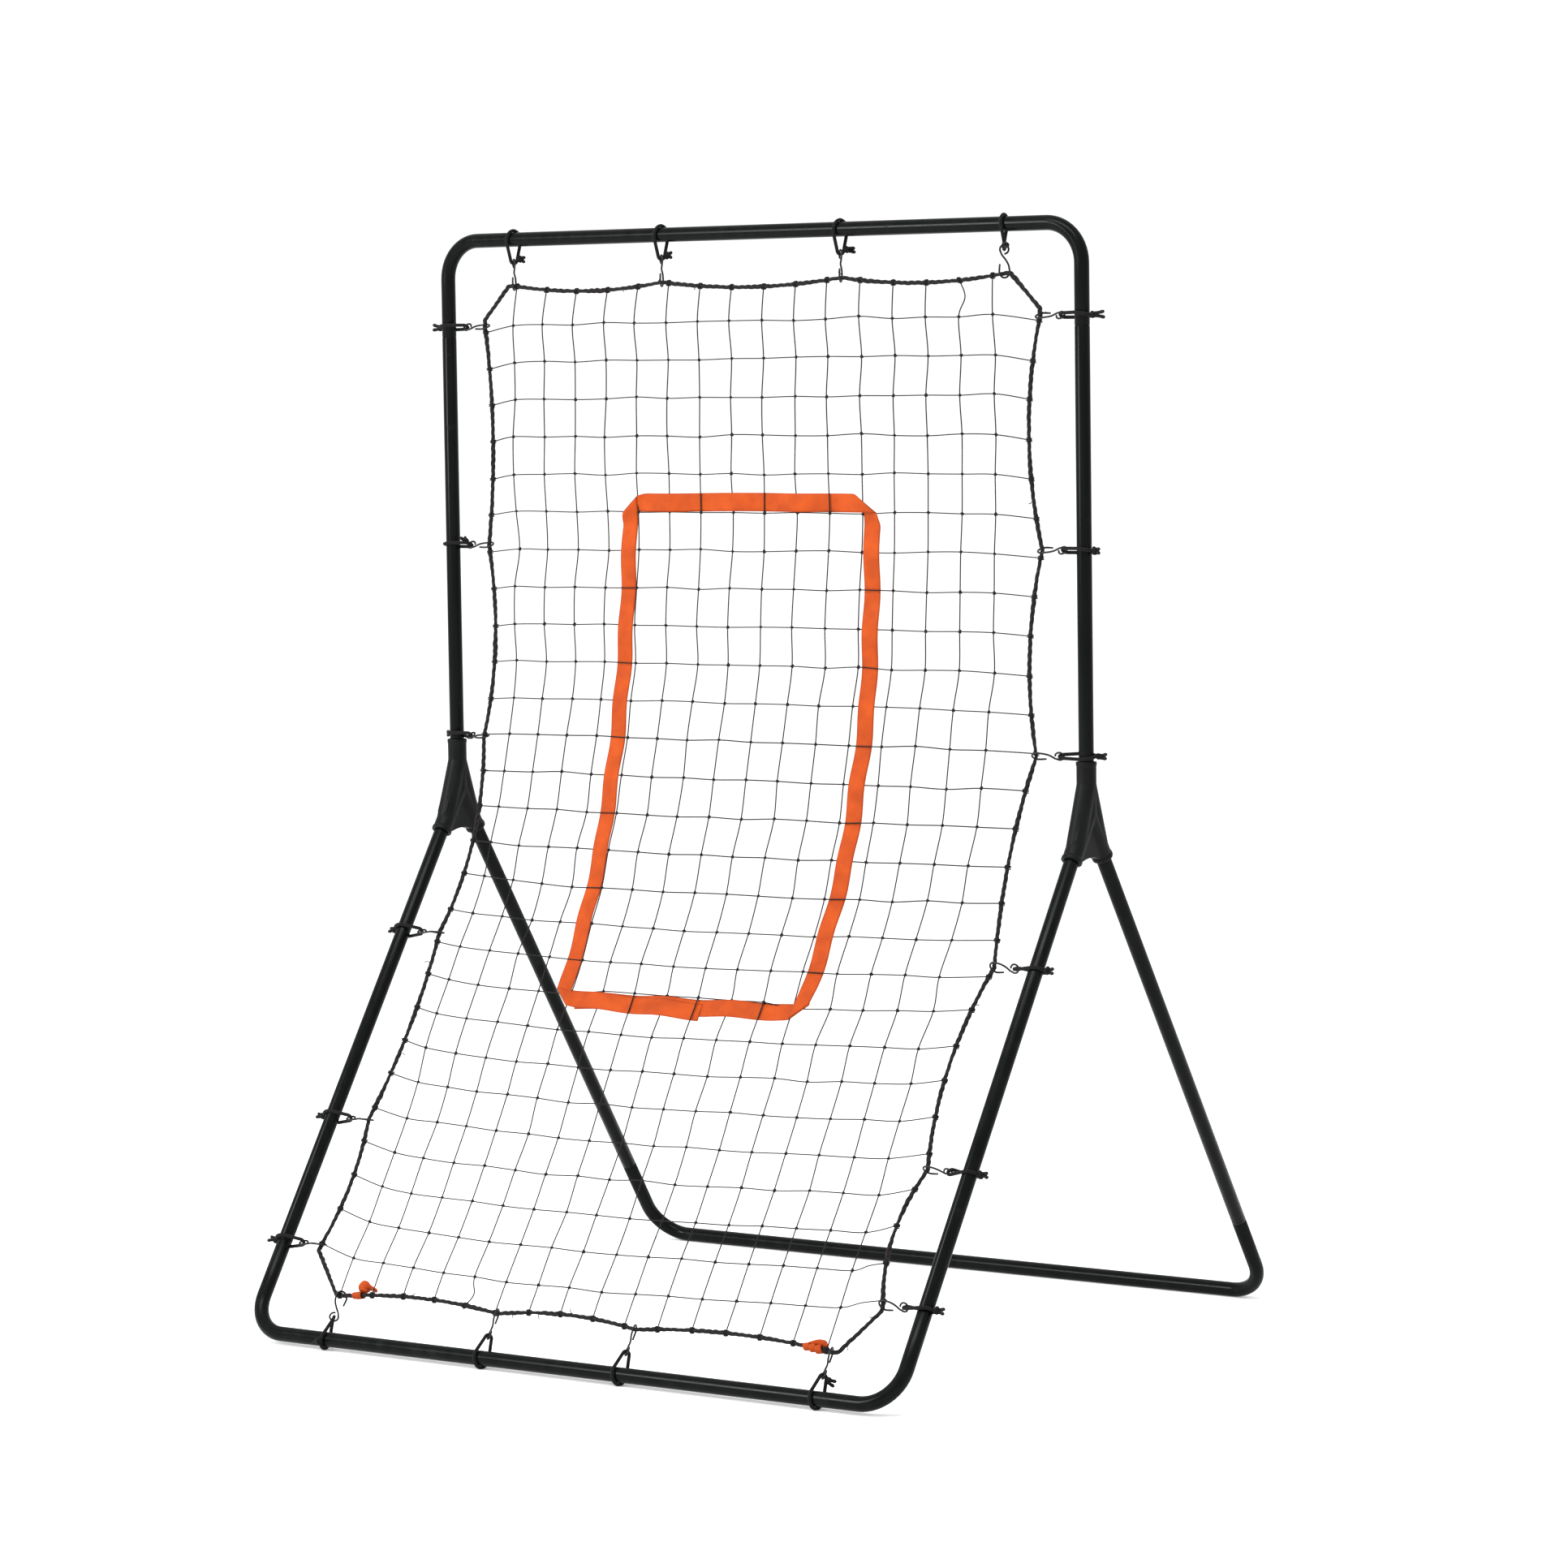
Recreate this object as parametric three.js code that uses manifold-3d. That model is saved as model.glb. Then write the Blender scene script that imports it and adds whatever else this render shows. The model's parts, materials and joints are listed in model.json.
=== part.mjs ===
// Pitch-back rebound net: a bent tube frame that stands like an upside-down Y, with a square-mesh
// net hung inside it from twenty elastic loops and twenty wire S-hooks.
// Millimetres, +Z up. The player stands on the -Y side. The origin is on the floor, in the middle
// of the overall width and depth.

import * as THREE from 'three';
import { mergeVertices } from 'three/addons/utils/BufferGeometryUtils.js';
import Module from 'manifold-3d';

const wasm = await Module();
wasm.setup();

// ---- Driving dimensions ----

const degree = Math.PI / 180;
const gap = 0.3; // left between pieces that touch

const tubeRadius = 9.5; // 19 mm round tube
const tubeWall = 1.2;
const frameWidth = 985; // between the axes of the side tubes
const uprightHeight = 731; // from the bend of the frame up to the axis of the top bar
const legLength = 805; // from the bend down to the axis of a bottom bar
const legAngle = 34 * degree; // each leg from the vertical
const frontLift = 4; // elastic cord flattened between the front bar and the floor
const bendRadius = 50;
const cornerLeg = 127; // from the axis of a U tube's bar to the end of its legs
const spigotLength = 35;

const sleeveRadius = 12.5; // moulded connector
const sleeveTop = 66;
const sleeveLeg = 68;
const lipRadius = 13.6;
const lipLength = 5;
const socketStart = 32; // where the tubes stop inside the connector
const webThickness = 15;

const cordRadius = 2.25; // elastic loop
const cordSides = 5;
const loopWrap = 12.8; // cord centre round the tube
const loopSlant = 3; // each strand's shift along the tube
const bightRadius = 4.2; // cord centre round the hook's eye
const knotRadius = 4.6;

const wireRadius = 1.25; // S-hook
const throatRadius = 8;
const throatOffset = 2.5; // from the rope to the centre of the throat
const eyeRadius = 5.5;
const hookReach = 35; // from the rope to the far side of the eye
const throatTurn = 22 * degree; // the throat's plane, from square to the rope
const eyeTurn = 50 * degree; // the eye's plane, as the wire is twisted between the two

const ropeRadius = 3;
const ropeSide = 432; // rope at the side hooks
const ropeTop = 670; // rope at the top hooks, above the bend
const ropeBottom = -744; // rope at the bottom hooks, along the legs
const sideScallop = 16; // how far the rope bows in between two hooks
const endScallop = 9;
const cornerRun = 9; // how far the rope runs past a corner hook before it cuts across

const netThickness = 1;
const netMargin = 24; // from the rope at the hooks to the top and bottom of the net's plain sheet
const netSideMargin = 32;
const netCornerCut = 80; // side of the square cut from each corner of the sheet, point first
const netCutAbove = 400; // the net leaves the frame's bend between these two heights
const netCutBelow = 300;

const strapWidth = 25;
const strapThickness = 1.2;
const zoneLeft = -201; // centre lines of the strike zone's straps
const zoneRight = 178.5;
const zoneTop = 384;
const zoneBottom = -303;

const topHooks = [-382, -142, 137, 381]; // places along the bars
const bottomHooks = [-369, -120, 92, 382];
const sideHooks = [617, 327, 66, -219, -497, -677]; // places up the uprights and down the legs
const ribbonTags = [-338, 364];

// Each attachment's twist, as a share of the hook's full turns, and where its cord is knotted: beside
// the eye, outside the frame, or in front of or behind the bar.
const topTies = [[-1, 'eye'], [-1, 'eye'], [-1, 'eye'], [1, 'eye']];
const leftTies = [[1, 'outside'], [1, 'eye'], [1, 'outside'], [1, 'outside'], [1, 'outside'],
  [1, 'outside']];
const rightTies = [[-1, 'outside'], [-1, 'outside'], [1, 'outside'], [1, 'outside'], [0.3, 'outside'],
  [1, 'outside']];
const bottomTies = [[-1, 'front'], [1, 'back'], [1, 'back'], [1, 'eye']];

// ---- The frame's lines ----

// The bars stand at two heights, so the A of the legs is turned a fraction of a degree.
const tilt = Math.asin(frontLift / (2 * legLength * Math.sin(legAngle)));
const frontAngle = legAngle + tilt;
const rearAngle = legAngle - tilt;
const bendHeight = tubeRadius + legLength * Math.cos(rearAngle);

const sideways = new THREE.Vector3(1, 0, 0);
const upright = new THREE.Vector3(0, 0, 1);
const frontLeg = new THREE.Vector3(0, -Math.sin(frontAngle), -Math.cos(frontAngle));
const rearLeg = new THREE.Vector3(0, Math.sin(rearAngle), -Math.cos(rearAngle));

// A point of the plane of the uprights and front legs: s is measured from the bend.
function onFrame(x, s) {
  const along = s >= 0 ? upright : frontLeg;
  return new THREE.Vector3(x, 0, bendHeight).addScaledVector(along, Math.abs(s));
}

// The net cuts the frame's corner along a parabola that is tangent to both planes.
// The rope at the net's sides is pulled back, so it cuts less than the net's middle.
function onNet(x, s) {
  const pull = 1 - 0.3 * (x / ropeSide) ** 2;
  const above = netCutAbove * pull;
  const below = netCutBelow * pull;
  if (s >= above || s <= -below) return onFrame(x, s);
  const root = Math.sqrt(above ** 2 - (above - below) * (above - s));
  const t = (above - root) / (above - below);
  return new THREE.Vector3(x, 0, bendHeight)
    .addScaledVector(upright, above * (1 - t) ** 2)
    .addScaledVector(frontLeg, below * t ** 2);
}

// ---- Curves, sections and solids ----

// A curve through chosen stations: every station is one ring of the swept piece.
// A curve that is nearly planar may name its plane's normal, which fixes how the section is turned.
class Stations extends THREE.Curve {
  constructor(points, { closed = false, planeNormal = null } = {}) {
    super();
    this.points = points;
    this.closed = closed;
    this.planeNormal = planeNormal;
  }

  get steps() {
    return this.closed ? this.points.length : this.points.length - 1;
  }

  station(i) {
    const count = this.points.length;
    return this.closed ? this.points[(i + count) % count] : this.points[Math.min(Math.max(i, 0), count - 1)];
  }

  getUtoTmapping(u) {
    return u;
  }

  getPoint(t, target = new THREE.Vector3()) {
    const place = t * this.steps;
    const i = Math.min(Math.floor(place + 1e-9), this.steps);
    return target.copy(this.station(i)).lerp(this.station(i + 1), Math.max(place - i, 0));
  }

  getTangent(t, target = new THREE.Vector3()) {
    const i = Math.round(t * this.steps);
    const arriving = this.station(i).clone().sub(this.station(i - 1)).normalize();
    const leaving = this.station(i + 1).clone().sub(this.station(i)).normalize();
    return target.copy(arriving).add(leaving).normalize();
  }

  computeFrenetFrames(segments, closed) {
    if (!this.planeNormal) return super.computeFrenetFrames(segments, closed);
    const tangents = [];
    const normals = [];
    const binormals = [];
    for (let i = 0; i <= segments; i++) {
      const tangent = this.getTangent(i / segments);
      const binormal = this.planeNormal.clone().projectOnPlane(tangent).normalize();
      tangents.push(tangent);
      binormals.push(binormal);
      normals.push(new THREE.Vector3().crossVectors(binormal, tangent));
    }
    return { tangents, normals, binormals };
  }
}

// A regular polygon whose corners lie at radius; the first corner is at startAngle.
function polygon(radius, sides, startAngle = 0) {
  const corners = [];
  for (let i = 0; i < sides; i++) {
    const angle = startAngle + (i / sides) * 2 * Math.PI;
    corners.push(new THREE.Vector2(radius * Math.cos(angle), radius * Math.sin(angle)));
  }
  return corners;
}

const tubeSides = 12;
const boreSides = 8; // inside the bent tubes
const flatToCorner = 1 / Math.cos(Math.PI / tubeSides);
const tubeCorner = tubeRadius * flatToCorner;
const boreCorner = tubeRadius - tubeWall;

function sweep(curve, shape) {
  return new THREE.ExtrudeGeometry(shape, { extrudePath: curve, steps: curve.steps, bevelEnabled: false });
}

function sweepRound(points, radius, sides, planeNormal) {
  const curve = new Stations(points, { planeNormal });
  return sweep(curve, new THREE.Shape(polygon(radius, sides)));
}

function closedRing(points, radius, sides) {
  const curve = new Stations(points, { closed: true });
  return new THREE.TubeGeometry(curve, curve.steps, radius, sides, true);
}

// A lathe round Z from pairs of radius and height, closed on itself.
function turned(profile, sides, turn = 0) {
  const points = profile.map(([radius, height]) => new THREE.Vector2(radius, height));
  points.push(points[0].clone());
  return new THREE.LatheGeometry(points, sides, turn).rotateX(Math.PI / 2);
}

function toSolid(geometry) {
  const bare = geometry.clone();
  bare.deleteAttribute('normal');
  bare.deleteAttribute('uv');
  const merged = mergeVertices(bare, 1e-4);
  return new wasm.Manifold(new wasm.Mesh({
    numProp: 3,
    vertProperties: new Float32Array(merged.attributes.position.array),
    triVerts: new Uint32Array(merged.index.array),
  }));
}

function toGeometry(solid) {
  const mesh = solid.getMesh();
  const geometry = new THREE.BufferGeometry();
  geometry.setAttribute('position', new THREE.BufferAttribute(mesh.vertProperties, 3));
  geometry.setIndex(new THREE.BufferAttribute(mesh.triVerts, 1));
  return geometry;
}

function joined(geometries) {
  return geometries.map(toSolid).reduce((whole, piece) => whole.add(piece));
}

function cut(solid, geometries) {
  return geometries.map(toSolid).reduce((whole, piece) => whole.subtract(piece), solid);
}

// A matrix that lays a piece's +Z along a direction, starting from a point.
function laidAlong(start, direction) {
  const turn = new THREE.Quaternion().setFromUnitVectors(upright, direction);
  return new THREE.Matrix4().compose(start, turn, new THREE.Vector3(1, 1, 1));
}

// ---- Materials ----

const paintedSteel = new THREE.MeshStandardMaterial({ color: '#171a19', roughness: 0.35, metalness: 0.3 });
const mouldedPlastic = new THREE.MeshStandardMaterial({ color: '#191b1a', roughness: 0.5, metalness: 0 });
const elasticCord = new THREE.MeshStandardMaterial({ color: '#191718', roughness: 0.85, metalness: 0 });
const hookWire = new THREE.MeshStandardMaterial({ color: '#2a2a2b', roughness: 0.35, metalness: 0.8 });
const borderCord = new THREE.MeshStandardMaterial({ color: '#221e20', roughness: 0.9, metalness: 0 });
const netTwine = new THREE.MeshStandardMaterial({ color: '#2f2b2d', roughness: 0.9, metalness: 0 });
const orangeWebbing = new THREE.MeshStandardMaterial({ color: '#e55c24', roughness: 0.8, metalness: 0 });

const netFrame = new THREE.Group();

function add(name, geometry, material) {
  const mesh = new THREE.Mesh(geometry, material);
  mesh.name = name;
  netFrame.add(mesh);
  return mesh;
}

// ---- U tubes: top bar, front bar and rear bar ----

// A reduced end that pushes into the bore of the next tube.
function spigot() {
  const outer = boreCorner / flatToCorner - gap;
  const inner = outer - tubeWall;
  const collar = tubeRadius - tubeWall / 2;
  return turned([[inner, -7], [collar, -7], [collar, -2], [outer, -gap], [outer, spigotLength],
    [inner, spigotLength]], tubeSides);
}

// The bar runs along X through the origin, and both legs point along the direction inward.
function uTube(inward) {
  const planeNormal = new THREE.Vector3().crossVectors(sideways, inward);
  const halfWidth = frameWidth / 2;
  const bendSteps = 5;
  const outline = [[-halfWidth, cornerLeg]];
  for (const side of [-1, 1]) {
    for (let i = 0; i <= bendSteps; i++) {
      const turn = (side < 0 ? i : bendSteps - i) / bendSteps * Math.PI / 2;
      outline.push([
        side * (halfWidth - bendRadius * (1 - Math.cos(turn))),
        bendRadius * (1 - Math.sin(turn)),
      ]);
    }
  }
  outline.push([halfWidth, cornerLeg]);
  const points = outline.map(([x, depth]) => new THREE.Vector3(x, 0, 0).addScaledVector(inward, depth));

  // One flat of the bar faces straight down, so that the frame can rest on it.
  const down = upright.clone().negate();
  const downAngle = Math.atan2(down.dot(planeNormal), down.dot(inward));
  const firstCorner = downAngle + Math.PI / tubeSides;
  const section = new THREE.Shape(polygon(tubeCorner, tubeSides, firstCorner));
  section.holes.push(new THREE.Path(polygon(boreCorner, boreSides, firstCorner).reverse()));
  const bent = sweep(new Stations(points, { planeNormal }), section);

  const ends = [points[0], points[points.length - 1]];
  const spigots = ends.map((end) => spigot().applyMatrix4(laidAlong(end, inward)));
  return toGeometry(joined([bent, ...spigots]));
}

const topBar = onFrame(0, uprightHeight);
const frontBar = onFrame(0, -legLength);
const rearBar = new THREE.Vector3(0, 0, bendHeight).addScaledVector(rearLeg, legLength);

for (const [name, place, leg] of [
  ['u_tube_top', topBar, upright],
  ['u_tube_front', frontBar, frontLeg],
  ['u_tube_rear', rearBar, rearLeg],
]) {
  add(name, uTube(leg.clone().negate()), paintedSteel).position.copy(place);
}

// ---- Straight tubes: uprights and legs ----

function straightTube(length) {
  return turned([[boreCorner, 0], [tubeCorner, 0], [tubeCorner, length], [boreCorner, length]],
    tubeSides, Math.PI / tubeSides);
}

for (const [side, hand] of [[-1, 'left'], [1, 'right']]) {
  const bend = new THREE.Vector3(side * frameWidth / 2, 0, bendHeight);
  for (const [name, direction, reach] of [
    ['upright', upright, uprightHeight],
    ['front_leg', frontLeg, legLength],
    ['rear_leg', rearLeg, legLength],
  ]) {
    const start = bend.clone().addScaledVector(direction, socketStart);
    const tube = add(`${name}_${hand}`, straightTube(reach - cornerLeg - gap - socketStart), paintedSteel);
    tube.applyMatrix4(laidAlong(start, direction));
  }
}

// ---- Moulded connectors that join an upright to its two legs ----

const sleeveSides = 14;

function sleeve(direction, length) {
  const barrel = new THREE.CylinderGeometry(sleeveRadius, sleeveRadius, length, sleeveSides);
  const lip = new THREE.CylinderGeometry(lipRadius, lipRadius, lipLength, sleeveSides);
  barrel.translate(0, length / 2, 0);
  lip.translate(0, length - lipLength / 2, 0);
  const lay = laidAlong(new THREE.Vector3(), direction);
  return [barrel, lip].map((piece) => piece.rotateX(Math.PI / 2).applyMatrix4(lay));
}

function socket(direction) {
  const radius = (tubeCorner + gap) * flatToCorner;
  const length = 2 * sleeveLeg;
  const bore = new THREE.CylinderGeometry(radius, radius, length, tubeSides);
  const start = direction.clone().multiplyScalar(socketStart - gap);
  return bore.rotateX(Math.PI / 2).translate(0, 0, length / 2).applyMatrix4(laidAlong(start, direction));
}

// The flat web that fills the fork between the two leg sleeves, arched at the bottom.
function web() {
  const shoulder = 38;
  const footDepth = 52;
  const footHalf = 14; // half the height of the web where it meets a leg's sleeve
  const archPull = -39; // raises the crown of the arch to 48 mm below the bend
  const inset = 7;
  const frontFoot = frontLeg.clone().multiplyScalar(footDepth);
  const rearFoot = rearLeg.clone().multiplyScalar(footDepth);
  const outline = new THREE.Shape();
  outline.moveTo(-inset, shoulder);
  outline.lineTo(frontFoot.y - inset, frontFoot.z + footHalf);
  outline.lineTo(frontFoot.y + inset, frontFoot.z - footHalf);
  outline.quadraticCurveTo(0, archPull, rearFoot.y - inset, rearFoot.z - footHalf);
  outline.lineTo(rearFoot.y + inset, rearFoot.z + footHalf);
  outline.lineTo(inset, shoulder);
  const plate = new THREE.ExtrudeGeometry(outline, {
    depth: webThickness, steps: 1, bevelEnabled: false, curveSegments: 8,
  });
  plate.translate(0, 0, -webThickness / 2);
  const turn = new THREE.Matrix4().makeBasis(new THREE.Vector3(0, 1, 0), upright, sideways);
  return plate.applyMatrix4(turn);
}

const forkSolid = joined([
  ...sleeve(upright, sleeveTop),
  ...sleeve(frontLeg, sleeveLeg),
  ...sleeve(rearLeg, sleeveLeg),
  web(),
]);
const connector = toGeometry(cut(forkSolid, [socket(upright), socket(frontLeg), socket(rearLeg)]));
for (const [side, hand] of [[-1, 'left'], [1, 'right']]) {
  add(`y_connector_${hand}`, connector, mouldedPlastic).position.set(side * frameWidth / 2, 0, bendHeight);
}

// ---- Net: border rope, plain sheet, strike-zone strap and ribbon tags ----

// The rope's hooks in order round the net, as x and s, with the way the rope runs along that edge
// and how far it bows in before the next hook.
const ropeHooks = [
  ...topHooks.map((x) => ({ x, s: ropeTop, run: [1, 0], bow: [0, -endScallop] })),
  ...sideHooks.map((s) => ({ x: ropeSide, s, run: [0, -1], bow: [-sideScallop, 0] })),
  ...bottomHooks.toReversed().map((x) => ({ x, s: ropeBottom, run: [-1, 0], bow: [0, endScallop] })),
  ...sideHooks.toReversed().map((s) => ({ x: -ropeSide, s, run: [0, 1], bow: [sideScallop, 0] })),
];

// Two hooks on one edge: the rope bows in between them.
function bowedSpan(hook, next) {
  const steps = 6;
  const stations = [];
  for (let i = 0; i < steps; i++) {
    const t = i / steps;
    const bow = 4 * t * (1 - t);
    stations.push(onNet(
      hook.x + (next.x - hook.x) * t + hook.bow[0] * bow,
      hook.s + (next.s - hook.s) * t + hook.bow[1] * bow,
    ));
  }
  return stations;
}

// Two hooks on either side of a corner: the rope runs straight past each and then cuts across.
function cornerSpan(hook, next) {
  return [
    onNet(hook.x, hook.s),
    onNet(hook.x + cornerRun * hook.run[0], hook.s + cornerRun * hook.run[1]),
    onNet(next.x - cornerRun * next.run[0], next.s - cornerRun * next.run[1]),
  ];
}

const ropeStations = ropeHooks.flatMap((hook, i) => {
  const next = ropeHooks[(i + 1) % ropeHooks.length];
  return hook.run[0] === next.run[0] ? bowedSpan(hook, next) : cornerSpan(hook, next);
});

add('border_rope', closedRing(ropeStations, ropeRadius, 6), borderCord);

// The middle of the net as flat facets, so that what lies on the net follows it exactly.
const facetCount = 14;
const facetHeights = Array.from({ length: facetCount + 1 }, (_, i) => (
  netCutAbove - (netCutAbove + netCutBelow) * (i / facetCount)
));

function onFacets(s) {
  const i = facetHeights.findIndex((height) => height < s);
  if (i <= 0) return onNet(0, s);
  const [upper, lower] = [facetHeights[i - 1], facetHeights[i]];
  return onNet(0, upper).lerp(onNet(0, lower), (upper - s) / (upper - lower));
}

// A band of the net's middle profile, standing in front of it by offset, swept along X.
function netBand(top, bottom, fromX, toX, offset, thickness) {
  const heights = [top, ...facetHeights.filter((s) => s < top && s > bottom), bottom];
  const curve = new Stations(heights.map(onFacets), { planeNormal: sideways });
  const shape = new THREE.Shape([
    new THREE.Vector2(offset - thickness / 2, fromX),
    new THREE.Vector2(offset + thickness / 2, fromX),
    new THREE.Vector2(offset + thickness / 2, toX),
    new THREE.Vector2(offset - thickness / 2, toX),
  ]);
  return sweep(curve, shape);
}

function netSheet() {
  const halfWidth = ropeSide - netSideMargin;
  const top = ropeTop - netMargin;
  const bottom = ropeBottom + netMargin;
  const sheet = toSolid(netBand(top, bottom, -halfWidth, halfWidth, 0, netThickness));
  const corners = [];
  for (const side of [-1, 1]) {
    for (const s of [top, bottom]) {
      const block = new THREE.BoxGeometry(netCornerCut, netCornerCut, netCornerCut).rotateY(Math.PI / 4);
      block.applyMatrix4(laidAlong(onFrame(side * halfWidth, s), s > 0 ? upright : frontLeg));
      corners.push(block);
    }
  }
  return toGeometry(cut(sheet, corners));
}

add('net', netSheet(), netTwine);

function zoneStrap() {
  const offset = -(netThickness / 2 + gap + strapThickness / 2);
  const half = strapWidth / 2;
  const bands = [
    [zoneTop + half, zoneBottom - half, zoneLeft - half, zoneLeft + half],
    [zoneTop + half, zoneBottom - half, zoneRight - half, zoneRight + half],
    [zoneTop + half, zoneTop - half, zoneLeft, zoneRight],
    [zoneBottom + half, zoneBottom - half, zoneLeft, zoneRight],
  ];
  return toGeometry(joined(bands.map((band) => netBand(...band, offset, strapThickness))));
}

add('strike_zone_strap', zoneStrap(), orangeWebbing);

// A short ribbon knotted round the bottom rope, with its end standing up.
function ribbonTag() {
  const thickness = 0.8;
  const tailWidth = 9;
  const tailHeight = 14;
  const overlap = 0.5; // of the tail and the collar
  const half = 4; // of the collar's width
  const inner = ropeRadius + 1;
  const outer = inner + thickness;
  const collar = turned([[inner, -half], [outer, -half], [outer, half], [inner, half]], 8);
  collar.rotateY(Math.PI / 2);
  const tail = new THREE.BoxGeometry(tailWidth, thickness, tailHeight);
  tail.translate(0, 0, outer + tailHeight / 2 - overlap);
  return toGeometry(joined([collar, tail]));
}

const bottomSpans = bottomHooks.slice(1).map((x, i) => [bottomHooks[i], x]);
ribbonTags.forEach((x, i) => {
  const [from, to] = bottomSpans.find((span) => x > span[0] && x < span[1]);
  const t = (x - from) / (to - from);
  const place = onNet(x, ropeBottom + endScallop * 4 * t * (1 - t));
  const tag = add(`ribbon_tag_${i === 0 ? 'left' : 'right'}`, ribbonTag(), orangeWebbing);
  tag.position.copy(place);
  tag.rotation.x = -frontAngle;
});

// ---- Elastic loops and S-hooks ----

// Every attachment: the point on the rope, the point on the tube's axis, and the two directions.
function attachment(rope, tube, ropeDirection, tubeDirection, [twist, knotPlace]) {
  const reach = tube.clone().sub(rope).normalize();
  const across = ropeDirection.clone().projectOnPlane(reach).normalize();
  const normal = new THREE.Vector3().crossVectors(reach, across);
  const sideAt = (turn) => (
    normal.clone().multiplyScalar(Math.cos(turn)).addScaledVector(across, Math.sin(turn))
  );
  return { rope, tube, reach, tubeDirection, twist, knotPlace, sideAt };
}

// The loops nearest the bend sit on the rims of the connectors.
const lowestUprightLoop = sleeveTop + cordRadius + loopSlant + 1;

const attachments = [];
topHooks.forEach((x, i) => {
  const tube = onFrame(x, uprightHeight);
  attachments.push(attachment(onNet(x, ropeTop), tube, sideways, sideways, topTies[i]));
});
for (const [side, ties] of [[-1, leftTies], [1, rightTies]]) {
  sideHooks.forEach((s, i) => {
    const rope = onNet(side * ropeSide, s);
    const tube = onFrame(side * frameWidth / 2, s > 0 ? Math.max(s, lowestUprightLoop) : s);
    const ropeDirection = onNet(side * ropeSide, s + 5).sub(onNet(side * ropeSide, s - 5)).normalize();
    const tubeDirection = s > 0 ? upright : frontLeg.clone().negate();
    attachments.push(attachment(rope, tube, ropeDirection, tubeDirection, ties[i]));
  });
}
bottomHooks.forEach((x, i) => {
  const tube = onFrame(x, -legLength);
  attachments.push(attachment(onNet(x, ropeBottom), tube, sideways, sideways, bottomTies[i]));
});

function arc(centre, radius, axisA, axisB, from, to, steps) {
  const points = [];
  for (let i = 0; i <= steps; i++) {
    const angle = (from + (to - from) * (i / steps)) * degree;
    points.push(centre.clone()
      .addScaledVector(axisA, radius * Math.cos(angle))
      .addScaledVector(axisB, radius * Math.sin(angle)));
  }
  return points;
}

// The cord goes round the tube, and its bight goes square through the hook's eye.
function elasticLoop(place) {
  const { rope, tube, reach, tubeDirection, twist, sideAt } = place;
  const wrapHalf = 105; // degrees of the tube that the cord touches, either side of its back
  const wrapSteps = 7;
  const loopSide = sideAt(twist * eyeTurn + Math.PI / 2);
  const wrapSide = new THREE.Vector3().crossVectors(reach, tubeDirection).normalize();
  const slant = loopSlant * Math.sign(loopSide.dot(tubeDirection));
  const pairing = Math.sign(loopSide.dot(wrapSide));
  const around = arc(tube, loopWrap, reach, wrapSide, wrapHalf * -pairing, wrapHalf * pairing, wrapSteps);
  around.forEach((point, i) => point.addScaledVector(tubeDirection, slant * (i / wrapSteps * 2 - 1)));
  const eyeEnd = rope.clone().addScaledVector(reach, hookReach);
  const bight = arc(eyeEnd, bightRadius, reach, loopSide, 90, 270, 4);
  const cord = closedRing([...around, ...bight], cordRadius, cordSides);

  const knot = new THREE.SphereGeometry(knotRadius, 6, 3);
  const knotProud = 3; // of the cord's own line
  const backward = new THREE.Vector3(0, 1, 0);
  const knotPlaces = {
    eye: eyeEnd.clone().addScaledVector(loopSide, bightRadius + knotProud),
    outside: tube.clone().addScaledVector(reach, loopWrap + knotProud),
    front: tube.clone().addScaledVector(backward, -loopWrap - knotProud),
    back: tube.clone().addScaledVector(backward, loopWrap + knotProud),
  };
  knot.translate(...knotPlaces[place.knotPlace].toArray());
  let solid = joined([cord, knot]);
  if (tube.z < loopWrap + cordRadius) {
    // The floor presses the cord flat under the front bar.
    const floor = new THREE.BoxGeometry(60, 60, 20).translate(tube.x, tube.y, -10);
    solid = cut(solid, [floor]);
  }
  return toGeometry(solid);
}

// An S of wire: an open throat over the rope and a closed eye round the elastic loop. The shank
// between them crosses from one side of the hook to the other.
function sHook(place) {
  const { rope, reach, twist, sideAt } = place;
  const throatCentre = rope.clone().addScaledVector(reach, throatOffset);
  const eyeCentre = rope.clone().addScaledVector(reach, hookReach - eyeRadius);
  const middleTurn = (throatTurn + eyeTurn) / 2;
  const tail = [throatOffset + 8, -throatRadius + 0.8, throatTurn];
  const shank = [[10.5, 6.2, throatTurn], [17, 1.5, middleTurn], [23, -3.2, eyeTurn]];
  const at = ([along, side, turn]) => (
    rope.clone().addScaledVector(reach, along).addScaledVector(sideAt(twist * turn), side)
  );
  const points = [
    at(tail),
    ...arc(throatCentre, throatRadius, reach, sideAt(twist * throatTurn), 270, 90, 6),
    ...shank.map(at),
    ...arc(eyeCentre, eyeRadius, reach, sideAt(twist * eyeTurn), 230, 530, 8),
  ];
  const planeNormal = new THREE.Vector3().crossVectors(reach, sideAt(twist * middleTurn));
  return sweepRound(points, wireRadius, 5, planeNormal);
}

attachments.forEach((place, i) => {
  const number = String(i + 1).padStart(2, '0');
  add(`elastic_loop_${number}`, elasticLoop(place), elasticCord);
  add(`s_hook_${number}`, sHook(place), hookWire);
});

// ---- The origin: the middle of the overall depth ----

const overall = new THREE.Box3().setFromObject(netFrame);
netFrame.position.y = -(overall.min.y + overall.max.y) / 2;

export default netFrame;
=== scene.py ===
"""Looks of the pitch-back rebound net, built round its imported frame, in metres.

A tube frame stands like an upside-down Y. A knotted net with a border rope hangs inside its front
half from twenty elastic loops and twenty wire S-hooks, with an orange target woven into it.
A place on the net is (x, s): s is measured up the uprights and down the front legs from the bend.
"""

import json
import math
import random

import bmesh
import bpy
import numpy as np
from mathutils import Matrix, Vector


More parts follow.
